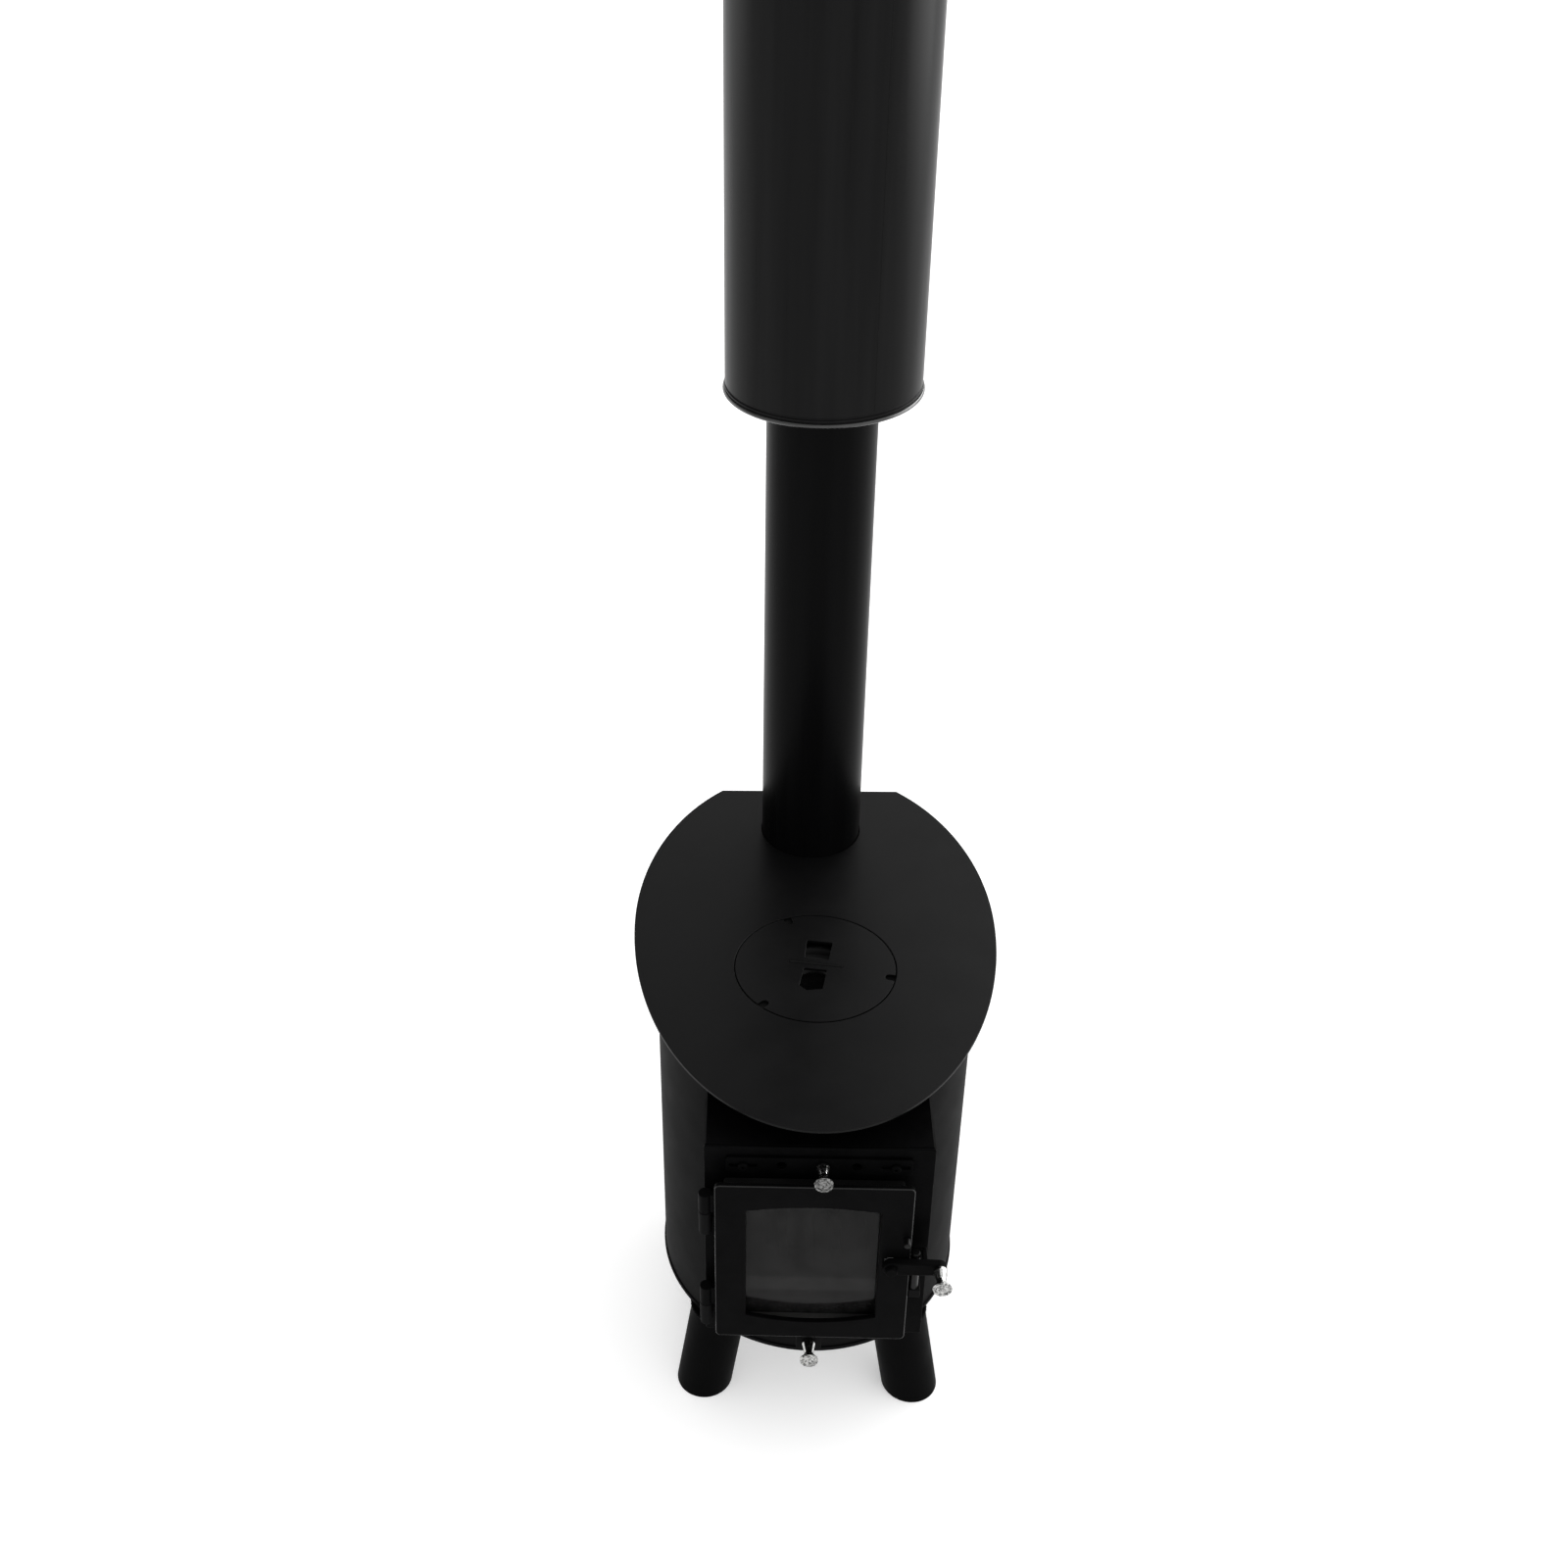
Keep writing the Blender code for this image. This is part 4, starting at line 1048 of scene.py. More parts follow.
@dataclass
class Flue:
    """The smoke box behind the body, the thin pipe, and the insulated section that it goes up into."""

    axis_y: float = 0.193
    pipe: tuple[float, float] = (0.0508, 0.0493)
    jacket: tuple[float, float] = (0.0885, 0.0870)
    jacket_low: float = 0.973
    jacket_length: float = 0.500
    liner: tuple[float, float] = (0.0635, 0.0625)
    spigot: tuple[float, float, float] = (0.0560, 0.0513, 0.0460)
    seat: float = 0.446
    plate_under: float = 0.4767
    band: tuple[float, float] = (0.0905, 0.0085)
    wool_rise: float = 0.0042
    seams: tuple[float, ...] = (-62.0, 90.0)

    def build(self) -> None:
        """Builds every piece of the flue."""
        at = (0, self.axis_y, 0)
        outer, socket, bore = self.spigot
        under, seat = self.plate_under, self.seat
        collar = [(outer, under), (outer, seat - 0.01), (bore, seat - 0.01), (bore, seat), (socket, seat),
                  (socket, under)]
        fit("pipe_collar", turned(collar, at, closed=True), INNER_PAINT, Body.STOVE, Slot.STEEL, "flue_spigot")
        low = self.jacket_low + self.wool_rise
        neck = self.jacket_low + 0.055
        pipe = tube(*self.pipe, seat + GAP, neck - 0.015, at)
        fit("smoke_pipe", pipe, PIPE_COAT, Body.STOVE, Slot.FLUE, "flue_pipe")
        fit("pipe_seam", self.seam(self.pipe[0], seat + GAP, neck - 0.016, 62.0), PIPE_COAT, Body.STOVE, Slot.FLUE)
        inside = self.liner[1] - GAP
        near = self.pipe[0] + GAP
        cone = [(inside, neck), (inside, low), (near, low), (near, neck - 0.012)]
        fit("reducing_cone", turned(cone, at, closed=True), LINER_STEEL, Body.STOVE, Slot.LINER, "flue_adaptor")
        top = self.jacket_low + self.jacket_length
        fit("liner_tube", tube(*self.liner, low, top + 0.018, at), LINER_STEEL, Body.STOVE, Slot.LINER, "flue_liner")
        packed = tube(self.jacket[1] - GAP, self.liner[0] + GAP, low, top - 0.003 - GAP, at)
        fit("wool_packing", packed, WOOL, Body.STOVE, Slot.WOOL, "flue_insulation")
        band_top = self.jacket_low + self.band[1]
        casing = tube(*self.jacket, band_top + GAP, top, at, steps=128)
        fit("outer_casing", casing, JACKET_COAT, Body.STOVE, Slot.FLUE, "flue_jacket")
        for number, turn in enumerate(self.seams):
            seam = self.seam(self.jacket[0], band_top + 0.002, top - 0.001, turn)
            fit(f"casing_seam_{number}", seam, JACKET_COAT, Body.STOVE, Slot.FLUE)
        fit("rolled_band", self.rolled_band(band_top), JACKET_COAT, Body.STOVE, Slot.FLUE, "jacket_bottom_band")
        roll = self.jacket_low + 0.0018
        path = [Vector((x, y, roll)) for x, y in circle((0.0, self.axis_y), self.band[0] - 0.0018, 128)]
        lip = swept(path, lambda travelled, round_it: 0.0018, 12, closed=True)
        fit("rolled_rim", lip, RIM_COAT, Body.STOVE, Slot.FLUE)
        cap = tube(self.jacket[1] - GAP, self.liner[0] + GAP, top - 0.003, top, at)
        fit("casing_top_ring", cap, JACKET_COAT, Body.STOVE, Slot.FLUE, "jacket_top_ring")
        self.smoke_box()

    def rolled_band(self, band_top: float) -> Solid:
        """The band that closes the casing: a rolled rim under two shallow grooves.

        Args:
            band_top: Where the casing starts.

        Returns:
            The band's solid.
        """
        low, z = self.jacket_low, self.jacket_low + self.wool_rise - GAP
        outer, jacket = self.band[0], self.jacket[0]
        near = self.pipe[0] + 0.001
        deep = jacket - 0.0009
        profile = [(deep, band_top), (deep, band_top - 0.0014), (jacket + 0.0006, band_top - 0.0018),
                   (jacket + 0.0006, low + 0.0052), (deep, low + 0.0048), (deep, low + 0.0034),
                   (outer - 0.0012, low + 0.0030), (outer - 0.0012, low + 0.0008), (near, low + 0.0008), (near, z),
                   (self.jacket[1], z), (self.jacket[1], band_top)]
        return turned(profile, (0, self.axis_y, 0), closed=True, ease=0.0006, steps=128)

    def seam(self, radius: float, low: float, high: float, turn: float) -> Solid:
        """A thin welded seam up a tube.

        Args:
            radius: The tube's radius.
            low: Where the seam starts.
            high: Where it ends.
            turn: Its place round the axis, in degrees.

        Returns:
            The seam's solid.
        """
        angle = math.radians(turn)
        x, y = radius * math.cos(angle), self.axis_y + radius * math.sin(angle)
        path = [Vector((x, y, low + (high - low) * k / 60)) for k in range(61)]
        return swept(path, lambda travelled, round_it: 0.0002, 8)

    def smoke_box(self) -> None:
        """Builds the box that leads the smoke from the body to the pipe."""
        half, low, back, wall, high = 0.075, 0.365, 0.2545, 0.004, self.plate_under
        radius, y0 = 0.1513, -0.029
        start = math.degrees(math.asin(half / radius))
        inner = math.degrees(math.asin((half - wall) / radius))
        nose = arc((0, y0), radius, 90 - start, 90 + start, 24)
        floor = nose + softened([nose[-1], (-half, back), (half, back), nose[0]], 0.003, False, 4)[1:-1]
        left = arc((0, y0), radius, 90 + inner, 90 + start, 4)
        right = arc((0, y0), radius, 90 - start, 90 - inner, 4)
        walls = right + [(half - wall, back - wall), (-(half - wall), back - wall)] + left
        walls += softened([left[-1], (-half, back), (half, back), right[0]], 0.003, False, 4)[1:-1]
        tray = sheet([floor], low, low + wall, ease=0.0006)
        fit("smoke_duct", joined(tray, sheet([walls], low + wall / 2, high, ease=0.0006)), BODY_PAINT, Body.STOVE,
            Slot.STEEL, "smoke_box")


@dataclass
class Knob:
    """A turned trumpet knob: a foot, a waist and a flared disc with a shallow face."""

    length: float = 0.0222
    face: float = 0.85

    def build(self, name: str, base: Sequence[float], body: Body, node: str) -> None:
        """Turns one knob.

        Args:
            name: The piece's name.
            base: The middle of its foot.
            body: The body it moves with.
            node: The frame's node it stands for.
        """
        length = self.length
        flare = [(0.0088, length - 0.0012), (0.0084, length - 0.0028), (0.0068, length - 0.0046),
                 (0.0052, length - 0.0064), (0.0044, length - 0.0084), (0.0045, length - 0.0110)]
        face = [(0.0, length - 0.0010), (0.0020, length - 0.0012), (0.0026, length - 0.0004),
                (0.0050, length - 0.0004), (0.0054, length - 0.0010), (0.0060, length - 0.0010), (0.0064, length)]
        profile = [*face, (0.0080, length), *flare,
                   (0.0058, 0.0052), (0.0064, 0.0030), (0.0065, 0.0014), (0.0062, 0.0), (0.0, 0.0)]
        shape = turned(profile, base, (0, -1, 0), ease=0.0003, steps=64)
        metal = TurnedMetal(f"{name}_metal", centre=tuple(base), face=self.face)
        fit(name, shape, metal, body, Slot.BRIGHT, node)


@dataclass
class DoorBox:
    """The square box in front of the body, with its face plate."""

    half: float = 0.1015
    front: float = -0.234
    low: float = 0.202
    high: float = 0.450
    wall: float = 0.004
    face: float = 0.003
    body: tuple[float, float] = (-0.029, 0.1513)
    opening: tuple[float, float, float] = (0.0695, 0.2285, 0.4045)
    middle_x: float = -0.004
    air_holes: tuple[float, float, float] = (0.033, 0.430, 0.0045)
    inlets: tuple[float, float, float] = (0.018, -0.212, 0.005)

    def build(self) -> None:
        """Builds the box and its face."""
        fit("door_box_sleeve", self.sleeve(), BOX_PAINT, Body.STOVE, Slot.STEEL, "door_box")
        wide, low, high = self.opening
        way = rectangle((self.middle_x - wide, low), (self.middle_x + wide, high), 0.004)
        x, z, radius = self.air_holes
        holes = [circle((sign * x, z), radius, 32) for sign in (-1, 1)]
        rim = rectangle((-self.half, self.low), (self.half, self.high), 0.0022)
        face = sheet([rim, way] + holes, self.front, self.front + self.face, upright, 0.0008)
        # The face's rounded rims take the door's lighter paint: a painted highlight.
        fit("box_face", face, BOX_PAINT, Body.STOVE, Slot.STEEL, "door_box_face", edge=DOOR_PAINT)

    def sleeve(self) -> Solid:
        """Folds the box and trims its back to the round body.

        Returns:
            The box's solid.
        """
        axis_y, radius = self.body
        front = self.front + self.face + GAP

        def ring(half: float, low: float, high: float, corner: float) -> list[Point]:
            """A rectangle with points spread along its level sides."""
            spread = [-half + corner + 2 * (half - corner) * k / 28 for k in range(29)]
            right = [(half, low + corner), (half, high - corner)]
            return [(x, low) for x in spread] + right + [(x, high) for x in reversed(spread)] + \
                [(-x, z) for x, z in reversed(right)]

        def place(u: float, v: float, w: float) -> Vector:
            """Keeps the front flat and moves the back onto the body."""
            if w < 0.5:
                return Vector((u, front + w, v))
            return Vector((u, axis_y - math.sqrt(radius ** 2 - u ** 2) - (1.0 - w), v))

        inner = self.half - self.wall
        rims = [ring(self.half, self.low, self.high, 0.002),
                ring(inner, self.low + self.wall, self.high - self.wall, 0.001)]
        box = sheet(rims, 0.0, 1.0, place, 0.0006)
        x, y, bore = self.inlets
        tools = [rod((k * x, y, self.low - 0.02), (k * x, y, self.low + 0.02), bore) for k in (-1, 0, 1)]
        return cut(box, *tools)


@dataclass
class AirControls:
    """The upper air slide with its guide bolts, and the lower slide in its two rails."""

    front: float = -0.234
    height: float = 0.430
    half: Point = (0.082, 0.0095)
    thick: float = 0.0025
    hole: Point = (0.033, 0.0045)
    slot: tuple[float, float, float] = (0.067, 0.0125, 0.0025)
    knob_x: float = 0.0035
    lower_top: float = 0.2017
    lower_x: Point = (-0.034, 0.026)
    lower_back: float = -0.184
    lower_t: float = 0.003
    lower_holes: tuple[float, float, float] = (0.018, -0.194, 0.005)
    tab: tuple[float, float, float] = (-0.004, 0.012, 0.180)
    rails: tuple[float, float, float, float] = (0.006, 0.007, -0.226, -0.186)

    def build(self) -> None:
        """Builds both controls."""
        back = self.front - GAP
        front = back - self.thick
        half_w, half_h = self.half
        hole_x, hole_r = self.hole
        slot_x, reach, half_slot = self.slot
        outlines = [rectangle((-half_w, self.height - half_h), (half_w, self.height + half_h), 0.003)]
        for sign in (-1, 1):
            outlines.append(circle((sign * hole_x, self.height), hole_r, 32))
            outlines.append(rectangle((sign * slot_x - reach, self.height - half_slot),
                                      (sign * slot_x + reach, self.height + half_slot), 0.0024, 6))
        plate = sheet(outlines, front, back, upright, 0.0004)
        fit("upper_air_plate", plate, BOX_PAINT, Body.UPPER_AIR, Slot.STEEL, "secondary_air_slide")
        foot = (self.knob_x, front - GAP, self.height)
        # Its face is much darker than its stem: painted shade.
        Knob(face=0.35).build("upper_air_knob", foot, Body.UPPER_AIR, "secondary_air_knob")
        for side, sign in (("left", -1), ("right", 1)):
            head = front - GAP
            bolt = [(0.0, 0.0030), (0.0035, 0.0030), (0.0045, 0.0020), (0.0045, 0.0), (0.0021, 0.0),
                    (0.0021, head - back), (0.0, head - back)]
            at = (sign * slot_x, head, self.height)
            key = [(0.0, 0.01), (0.0016, 0.01), (0.0016, 0.0012), (0.0, 0.0012)]
            socket = turned(key, at, (0, -1, 0), steps=6, ease=0)
            shape = cut(turned(bolt, at, (0, -1, 0), steps=40), socket)
            fit(f"guide_bolt_{side}", shape, BOX_PAINT, Body.STOVE, Slot.IRON, f"slide_guide_bolt_{side}")
        self.lower()

    def lower(self) -> None:
        """Builds the lower slide and its rails."""
        left, right = self.lower_x
        high = self.lower_top
        x, y, bore = self.lower_holes
        outlines = [rectangle((left, self.front - 0.001), (right, self.lower_back), 0.001)]
        outlines += [circle((k * x, y), bore, 32) for k in (-1, 0, 1)]
        middle, half, low = self.tab
        tray = sheet(outlines, high - self.lower_t, high, ease=0.0004)
        tab = block((middle - half, self.front - 0.004, low), (middle + half, self.front, high), 0.0006)
        fit("lower_air_tray", joined(tray, tab), BODY_PAINT, Body.LOWER_AIR, Slot.STEEL, "primary_air_slide")
        Knob().build("lower_air_knob", (middle, self.front - 0.004 - GAP, 0.190), Body.LOWER_AIR, "primary_air_knob")
        width, tall, near, far = self.rails
        for side, edge, sign in (("left", left, -1), ("right", right, 1)):
            a, b = sorted((edge + sign * width, edge + sign * GAP))
            c, d = sorted((edge + sign * width, edge - sign * 0.004))
            rail = joined(block((a, near, high - tall), (b, far, high), 0.0004),
                          block((c, near, high - tall), (d, far, high - self.lower_t - GAP), 0.0004))
            fit(f"lower_rail_{side}", rail, BODY_PAINT, Body.STOVE, Slot.STEEL, f"primary_slide_rail_{side}")


@dataclass
class Door:
    """The glazed door: plate, arched window, glass, seal channel, rope and clips."""

    middle: Point = (-0.004, 0.3165)
    half_width: float = 0.088
    low: float = 0.216
    high: float = 0.420
    front: float = -0.2525
    thick: float = 0.005
    window: tuple[float, float, float, float, float] = (0.060, 0.2465, 0.2377, 0.388, 0.3937)
    glass_half: Point = (0.064, 0.0825)
    glass_front: float = -0.2415
    glass_t: float = 0.004
    channel: Point = (0.0655, 0.084)
    wall: float = 0.005
    groove: float = 0.0075
    lip: float = 0.002
    rope: tuple[float, float] = (0.0036, -0.2379)

    def framed(self, inner: Point, outer: Point, low: float, high: float, ease: float = 0.0004) -> Solid:
        """An upright rectangular frame round the window.

        Args:
            inner: Half its opening's width and height.
            outer: Half its own width and height.
            low: Where it starts along Y.
            high: Where it ends.
            ease: The radius of its rims.

        Returns:
            The frame's solid.
        """
        (x, z), (w, h), (a, b) = self.middle, outer, inner
        rims = [rectangle((x - w, z - h), (x + w, z + h), 0.004), rectangle((x - a, z - b), (x + a, z + b), 0.004)]
        return sheet(rims, low, high, upright, ease)

    def opening(self) -> list[Point]:
        """The window: straight sides, arched a little above and below.

        Returns:
            The outline.
        """
        half, low, low_mid, high, high_mid = self.window
        points: list[Point] = []
        for edge, crown, way in ((low, low_mid, 1), (high, high_mid, -1)):
            row = [(self.middle[0] - half + 2 * half * k / 32,
                    edge + (crown - edge) * math.sin(math.pi * k / 32) ** 0.9) for k in range(33)]
            points += row[::way]
        return points

    def build(self) -> None:
        """Builds everything that the door plate carries."""
        x, z = self.middle
        back = self.front + self.thick
        rim = rectangle((x - self.half_width, self.low), (x + self.half_width, self.high), 0.0055, 6)
        plate = sheet([rim, self.opening()], self.front, back, upright, 0.0008)
        # The door plate's rounded rims take the lighter paint that paints their highlight.
        fit("door_panel", plate, DOOR_PAINT, Body.DOOR, Slot.STEEL, "door_plate", edge=EDGE_HIGHLIGHT_PAINT)
        channel_back = self.glass_front + self.glass_t
        inner = self.channel
        wall = tuple(h + self.wall for h in inner)
        groove = tuple(h + self.groove for h in wall)
        outer = tuple(h + self.lip for h in groove)
        floor = channel_back - 0.0065
        channel = joined(self.framed(inner, outer, back + GAP, floor),
                         self.framed(inner, wall, floor - 0.001, channel_back),
                         self.framed(groove, outer, floor - 0.001, channel_back))
        fit("seal_channel", channel, INNER_PAINT, Body.DOOR, Slot.STEEL, "door_seal_channel")
        tape = (self.window[0] + 0.0004, 0.0785)
        gasket = self.framed(tape, self.glass_half, back + GAP, self.glass_front - GAP)
        fit("glass_tape", gasket, TAPE, Body.DOOR, Slot.ROPE, "glass_gasket")
        w, h = self.glass_half
        outline = rectangle((x - w, z - h), (x + w, z + h), 0.003)
        pane = sheet([outline], self.glass_front, channel_back, upright, 0.0005)
        fit("door_pane", pane, GLASS, Body.DOOR, Slot.WINDOW, "door_glass")
        self.rope_seal(wall)
        self.clips(channel_back)

    def rope_seal(self, wall: Point) -> None:
        """Lays the braided rope into its channel.

        Args:
            wall: Half the size of the channel's inner wall.
        """
        (x, z), (radius, y) = self.middle, self.rope
        w, h = (half + self.groove / 2 for half in wall)
        corners = rectangle((x - w, z - h), (x + w, z + h), 0.0055, 6)
        path: list[Vector] = []
        for a, b in zip(corners, corners[1:] + corners[:1]):
            count = max(1, round((Vector(b) - Vector(a)).length / 0.0016))
            path += [Vector((a[0] + (b[0] - a[0]) * k / count, y, a[1] + (b[1] - a[1]) * k / count))
                     for k in range(count)]
        length = sum((b - a).length for a, b in zip(path, path[1:] + path[:1]))
        turns = round(length / 0.009)

        def strands(travelled: float, turn: float) -> float:
            """Three twisted strands, a little flattened."""
            return radius * (0.95 + 0.05 * math.cos(3 * (turn + math.tau * turns * travelled / length / 3)))
        fit("rope_seal", swept(path, strands, 12, closed=True), BRAID, Body.DOOR, Slot.ROPE, "door_rope_seal")

    def clips(self, channel_back: float) -> None:
        """Builds the two glass clips and their screws.

        Args:
            channel_back: Where the channel ends along Y.
        """
        x, z = self.middle
        screw_x = self.channel[0] + self.wall / 2
        for side, sign in (("left", -1), ("right", 1)):
            a, b = sorted((x + sign * 0.0612, x + sign * 0.0702))
            back = channel_back + GAP + 0.0015
            outlines = [rectangle((a, z - 0.072), (b, z + 0.072), 0.001)]
            outlines += [circle((x + sign * screw_x, z + dz), 0.0019, 20) for dz in (-0.060, 0.060)]
            strip = sheet(outlines, channel_back + GAP, back, upright, 0.0003)
            fit(f"clip_strip_{side}", strip, INNER_PAINT, Body.DOOR, Slot.STEEL, f"glass_clip_{side}")
            for name, dz in (("low", -0.060), ("high", 0.060)):
                at = (x + sign * screw_x, back + GAP, z + dz)
                shape = [(0.0, 0.0012), (0.0022, 0.0012), (0.0028, 0.0006), (0.0028, 0.0), (0.0015, 0.0),
                         (0.0015, -0.0016), (0.0, -0.0016)]
                slit = block((at[0] - 0.0035, at[1] + 0.0006, at[2] - 0.0003),
                             (at[0] + 0.0035, at[1] + 0.003, at[2] + 0.0003), 0.00005)
                screw = cut(turned(shape, at, (0, 1, 0), ease=0.0002, steps=32), slit)
                fit(f"clip_screw_{side}_{name}", screw, PIN_STEEL, Body.DOOR, Slot.BRIGHT,
                    f"glass_screw_{side}_{name}")


@dataclass
class Hinges:
    """Two lift-off hinges: a lug on the door over a knuckle on the box, on a steel pin."""

    axis: Point = (-0.1005, -0.2435)
    radius: float = 0.006
    bore: float = 0.0034
    pin: float = 0.003
    tops: tuple[tuple[str, float], ...] = (("upper", 0.402), ("lower", 0.277))
    lug: float = 0.0225
    knuckle: float = 0.0270
    door_back: float = -0.2475
    box_front: float = -0.234

    def build(self) -> None:
        """Builds both hinges."""
        x, y = self.axis
        for name, top in self.tops:
            low = top - self.lug
            barrel = cut(rod((x, y, low), (x, y, top), self.radius, 0.0008, 48),
                         rod((x, y, low - 0.01), (x, y, top - 0.004), self.bore))
            arm = block((x + 0.0042, self.door_back + GAP, low + 0.0002), (-0.0860, -0.2415, top - 0.0002), 0.0005)
            fit(f"hinge_lug_{name}", joined(barrel, arm), DOOR_PAINT, Body.DOOR, Slot.STEEL, f"door_hinge_lug_{name}")
            high = low - 0.0006
            bottom = high - self.knuckle
            barrel = cut(rod((x, y, bottom), (x, y, high), self.radius, 0.0008, 48),
                         rod((x, y, bottom + 0.004), (x, y, high + 0.01), self.bore))
            leaf = block((x - 0.001, y + 0.0042, bottom + 0.0002),
                         (-0.0945, self.box_front - GAP, high - 0.0002), 0.0005)
            fit(f"hinge_knuckle_{name}", joined(barrel, leaf), BODY_PAINT, Body.STOVE, Slot.STEEL,
                f"frame_hinge_knuckle_{name}")
            pin = rod((x, y, bottom + 0.004 + GAP), (x, y, top - 0.004 - GAP), self.pin)
            fit(f"hinge_pin_{name}_steel", pin, PIN_STEEL, Body.STOVE, Slot.BRIGHT, f"hinge_pin_{name}")


@dataclass
class Latch:
    """The drop latch: lever, hook and knob on the door, with the keeper post on the box."""

    pivot: Point = (0.0667, 0.324)
    faces: Point = (-0.2610, -0.2535)
    half_height: float = 0.008
    knob_x: float = 0.1105
    knob_rise: float = 0.0010
    door_front: float = -0.2525
    post: tuple[float, float, float, float, float] = (0.0893, -0.2475, 0.004, 0.2863, 0.333)
    hook_y: Point = (-0.2425, -0.2385)
    hook_z: Point = (-0.0020, 0.0055)
    stop: tuple[float, float, float, float] = (0.0796, 0.3555, 0.003, 0.0085)
    box_front: float = -0.234

    def build(self) -> None:
        """Builds the latch and its keeper."""
        x, z = self.pivot
        front, back = self.faces
        bar = (arc((self.knob_x - 0.001, z), self.half_height * 0.9, -90, 90, 24)
               + arc((x, z), self.half_height, 90, 270, 32))
        lever = sheet([bar, circle((x, z), 0.0034, 32)], front, back, upright, 0.0012)
        # The arm's rounded rims take the door's lighter paint: a painted highlight.
        fit("latch_arm", lever, BOX_PAINT, Body.LATCH, Slot.STEEL, "latch_lever", edge=DOOR_PAINT)
        px, py, radius, low, high = self.post
        side = px + radius + 0.0022
        a, b = z + self.hook_z[0], z + self.hook_z[1]
        hook = joined(block((side, back + GAP, a), (side + 0.004, self.hook_y[1], b), 0.0005),
                      block((px - 0.0038, self.hook_y[0], a), (side + 0.002, self.hook_y[1], b), 0.0005))
        fit("latch_catch", hook, DOOR_PAINT, Body.LATCH, Slot.STEEL, "latch_hook")
        reach = front - (self.door_front - 0.0007)
        bolt = [(0.0, 0.0040), (0.0046, 0.0040), (0.0055, 0.0028), (0.0055, 0.0), (0.0030, 0.0), (0.0030, reach),
                (0.0, reach)]
        fit("pivot_bolt", turned(bolt, (x, front - GAP, z), (0, -1, 0), steps=64), DOOR_PAINT, Body.DOOR, Slot.STEEL,
            "latch_pivot_bolt")
        washer = [(0.0072, 0.0), (0.0072, -0.0004), (0.0036, -0.0004), (0.0036, 0.0)]
        ring = turned(washer, (x, self.door_front - 0.0007, z), (0, -1, 0), closed=True, ease=0.0001, steps=64)
        fit("pivot_washer", ring, PIN_STEEL, Body.DOOR, Slot.BRIGHT, "latch_washer")
        sx, sz, sr, length = self.stop
        stop = rod((sx, self.door_front - GAP, sz), (sx, self.door_front - length, sz), sr, 0.0008)
        fit("stop_pin", stop, POST_PAINT, Body.DOOR, Slot.STEEL, "latch_stop_pin")
        Knob().build("latch_pull", (self.knob_x, front - GAP, z + self.knob_rise), Body.LATCH, "latch_knob")
        pillar = [(0.0, high), (radius * 0.8, high), (radius, high - 0.0012), (radius, low), (0.0, low)]
        post = turned(pillar, (px, py, 0), ease=0.0004, steps=48)
        fit("keeper_pillar", post, POST_PAINT, Body.STOVE, Slot.STEEL, "keeper_post")
        foot = block((px - 0.0045, py - 0.0045, low - 0.0105), (px + 0.0060, self.box_front - GAP, low - GAP), 0.0008)
        fit("keeper_foot", foot, BODY_PAINT, Body.STOVE, Slot.STEEL, "keeper_bracket")


@dataclass
class Firebox:
    """Vermiculite lining, the slotted grate and the baffle."""

    axis: Point = (0.0, -0.029)
    inner: float = 0.122
    outer: float = 0.1455
    floor: float = 0.1073
    top: float = 0.360
    bricks: tuple[tuple[str, int, int, int], ...] = (("back", 56, 124, 32), ("right", -44, 54, 48),
                                                     ("left", 126, 224, 48))
    grate: tuple[float, float, float] = (0.118, 0.160, 0.168)
    baffle: tuple[float, float] = (0.143, 0.012)

    def build(self) -> None:
        """Builds the lining."""
        for name, start, end, steps in self.bricks:
            outline = arc(self.axis, self.outer, start, end, steps) + arc(self.axis, self.inner, end, start, steps)
            board = sheet([outline], self.floor, self.top, ease=0.0015)
            fit(f"lining_{name}", board, VERMICULITE, Body.STOVE, Slot.BRICK, f"fire_brick_{name}")
        radius, low, high = self.grate
        outlines = [circle(self.axis, radius, 96)]
        for number in range(-3, 4):
            x = number * 0.027
            half = math.sqrt(0.105 ** 2 - x ** 2)
            outlines.append(rectangle((x - 0.005, self.axis[1] - half), (x + 0.005, self.axis[1] + half), 0.0045, 6))
        parts = [sheet(outlines, low, high, ease=0.001)]
        for turn in (90, 210, 330):
            x, y = arc(self.axis, 0.1115, turn, turn + 1, 1)[0]
            parts.append(rod((x, y, self.floor), (x, y, low + 0.001), 0.0055))
        fit("fire_grate", joined(*parts), IRON, Body.STOVE, Slot.IRON, "grate")
        radius, thick = self.baffle
        wide = math.degrees(math.asin(0.076 / radius))
        board = sheet([arc(self.axis, radius, -wide, 180 + wide, 88)], self.top + GAP, self.top + thick, ease=0.0015)
        fit("smoke_baffle", board, VERMICULITE, Body.STOVE, Slot.BRICK, "baffle")


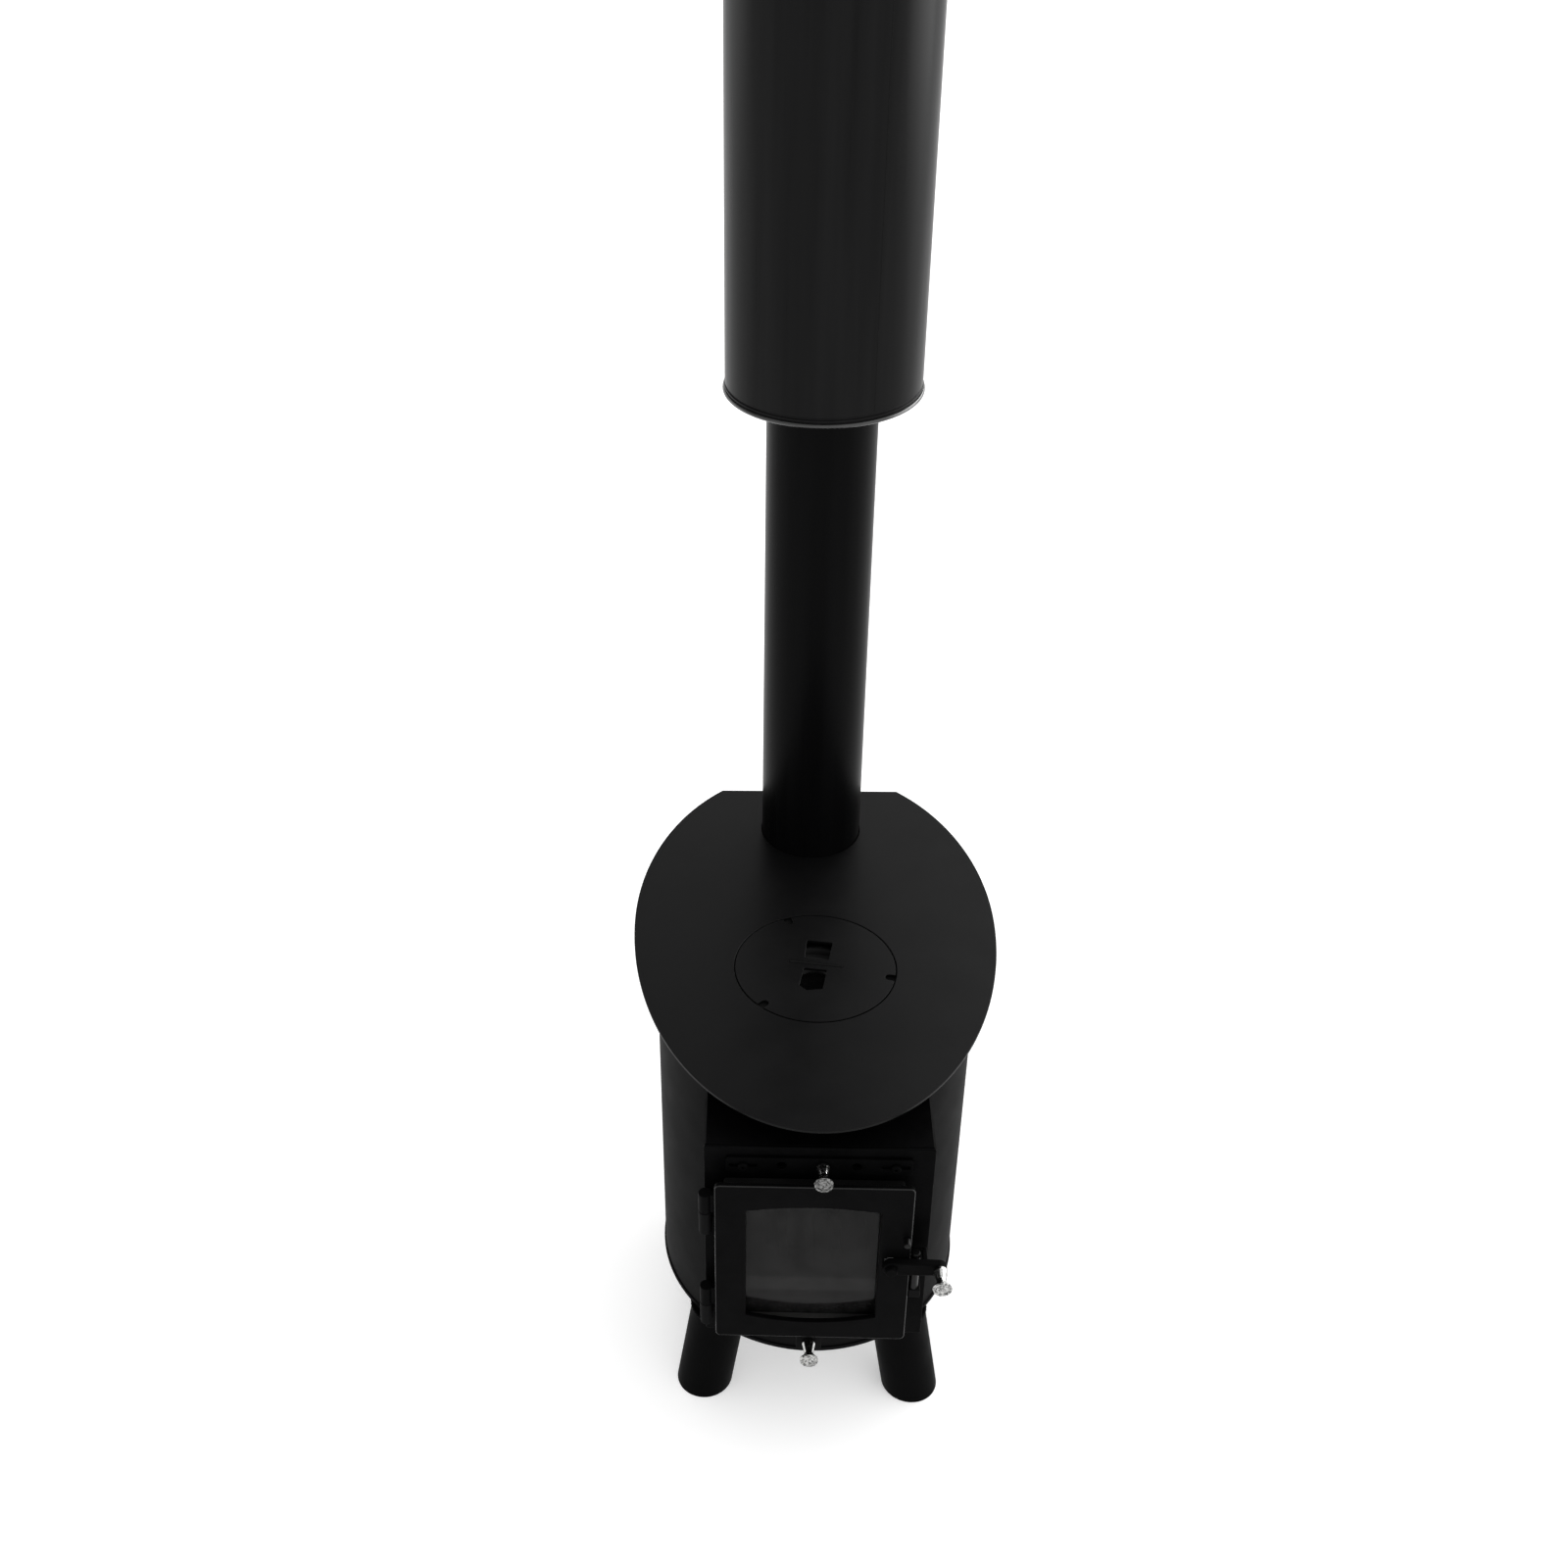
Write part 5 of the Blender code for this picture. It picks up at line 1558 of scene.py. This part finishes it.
@dataclass
class Studio:
    """Pale floor, soft light and the camera."""

    place: tuple[float, float, float] = (-0.0582, -1.3416, 1.6261)
    yaw: float = math.radians(-3.766)
    pitch: float = math.radians(35.353)
    roll: float = math.radians(-1.777)
    lens: float = 41.564
    shift: float = 0.0801
    sky: float = 1.38
    sun: float = 1.10
    sun_angle: float = math.radians(80)
    sun_from: tuple[float, float, float] = (0.16, 0.10, 1.0)
    right_lean: float = -0.36
    falloff: tuple[Point, ...] = ((0.0, 1.0), (0.42, 1.0), (0.62, 0.62), (0.80, 0.36), (1.0, 0.30))
    floor_half: float = 60.0

    def build(self) -> None:
        """Builds the stage."""
        scene = bpy.context.scene
        scene.view_settings.view_transform = "Standard"
        scene.view_settings.look = "None"
        mesh = bmesh.new()
        bmesh.ops.create_grid(mesh, x_segments=8, y_segments=8, size=self.floor_half)
        data = bpy.data.meshes.new("studio_floor")
        mesh.to_mesh(data)
        mesh.free()
        floor = bpy.data.objects.new("studio_floor", data)
        scene.collection.objects.link(floor)
        data.materials.append(StudioFloor("studio_paper").material())
        world = bpy.data.worlds.new("soft_room")
        world.use_nodes = True
        self.room(world.node_tree)
        scene.world = world
        sun = bpy.data.lights.new("ceiling_light", "SUN")
        sun.energy = self.sun
        sun.angle = self.sun_angle
        lamp = bpy.data.objects.new("ceiling_light", sun)
        lamp.rotation_euler = Vector(self.sun_from).to_track_quat("Z", "Y").to_euler()
        scene.collection.objects.link(lamp)
        self.softbox("right_softbox", (1.9, 0.5, 1.4), (0.0, 0.1, 0.9), 1.4, 34.0)
        self.softbox("left_softbox", (-1.8, 0.9, 1.2), (0.0, 0.0, 0.55), 1.0, 3.0)
        self.softbox("rear_softbox", (1.7, 2.2, 2.3), (0.0, 0.0, 0.48), 1.4, 40.0)
        self.camera()

    def room(self, tree: bpy.types.NodeTree) -> None:
        """Lights the room: bright towards the walls, dimmer overhead, and brighter on the right.

        Args:
            tree: The world's nodes.
        """
        back = tree.nodes["Background"]
        back.inputs["Strength"].default_value = self.sky
        where = tree.nodes.new("ShaderNodeTexCoord")
        split = tree.nodes.new("ShaderNodeSeparateXYZ")
        tree.links.new(where.outputs["Generated"], split.inputs["Vector"])
        lean = tree.nodes.new("ShaderNodeMath")
        lean.operation = "MULTIPLY_ADD"
        lean.inputs[1].default_value = self.right_lean
        tree.links.new(split.outputs["X"], lean.inputs[0])
        tree.links.new(split.outputs["Z"], lean.inputs[2])
        ramp = tree.nodes.new("ShaderNodeValToRGB")
        tree.links.new(lean.outputs["Value"], ramp.inputs["Fac"])
        elements = ramp.color_ramp.elements
        while len(elements) < len(self.falloff):
            elements.new(0.5)
        for element, (position, grey) in zip(elements, self.falloff):
            element.position = position
            element.color = (grey, grey, grey, 1.0)
        tree.links.new(ramp.outputs["Color"], back.inputs["Color"])

    def softbox(self, name: str, spot: Sequence[float], aim: Sequence[float], size: float, power: float) -> None:
        """Hangs one softbox, which is seen only in glossy surfaces and so casts no shadow on the floor.

        Args:
            name: Its name.
            spot: Where it hangs.
            aim: Where it points.
            size: Its side, in metres.
            power: Its power, in watts.
        """
        light = bpy.data.lights.new(name, "AREA")
        light.shape = "SQUARE"
        light.size = size
        light.energy = power
        box = bpy.data.objects.new(name, light)
        box.location = spot
        box.rotation_euler = (Vector(spot) - Vector(aim)).to_track_quat("Z", "Y").to_euler()
        box.visible_diffuse = False
        bpy.context.scene.collection.objects.link(box)

    def camera(self) -> None:
        """Sets up the camera."""
        sy, cy, sp, cp = math.sin(self.yaw), math.cos(self.yaw), math.sin(self.pitch), math.cos(self.pitch)
        ahead = Vector((sy * cp, cy * cp, -sp))
        right = Vector((cy, -sy, 0))
        up = right.cross(ahead)
        side = right * math.cos(self.roll) + up * math.sin(self.roll)
        head = up * math.cos(self.roll) - right * math.sin(self.roll)
        lens = bpy.data.cameras.new("camera")
        lens.lens = self.lens
        lens.sensor_width = 36.0
        lens.shift_x = self.shift
        lens.clip_end = 500.0
        camera = bpy.data.objects.new("camera", lens)
        turn = Matrix((side, head, -ahead)).transposed().to_4x4()
        camera.matrix_world = Matrix.Translation(Vector(self.place)) @ turn
        bpy.context.scene.collection.objects.link(camera)
        bpy.context.scene.camera = camera


def main() -> None:
    """Builds every sub-assembly in order."""
    logging.basicConfig(level=logging.INFO, format="%(name)s: %(message)s")
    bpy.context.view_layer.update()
    for assembly in (Shell(), Legs(), CookingTop(), HotplateLid(), Flue(), DoorBox(), AirControls(), Door(), Hinges(),
                     Latch(), Firebox(), Studio()):
        assembly.build()


if __name__ == "__main__":
    main()
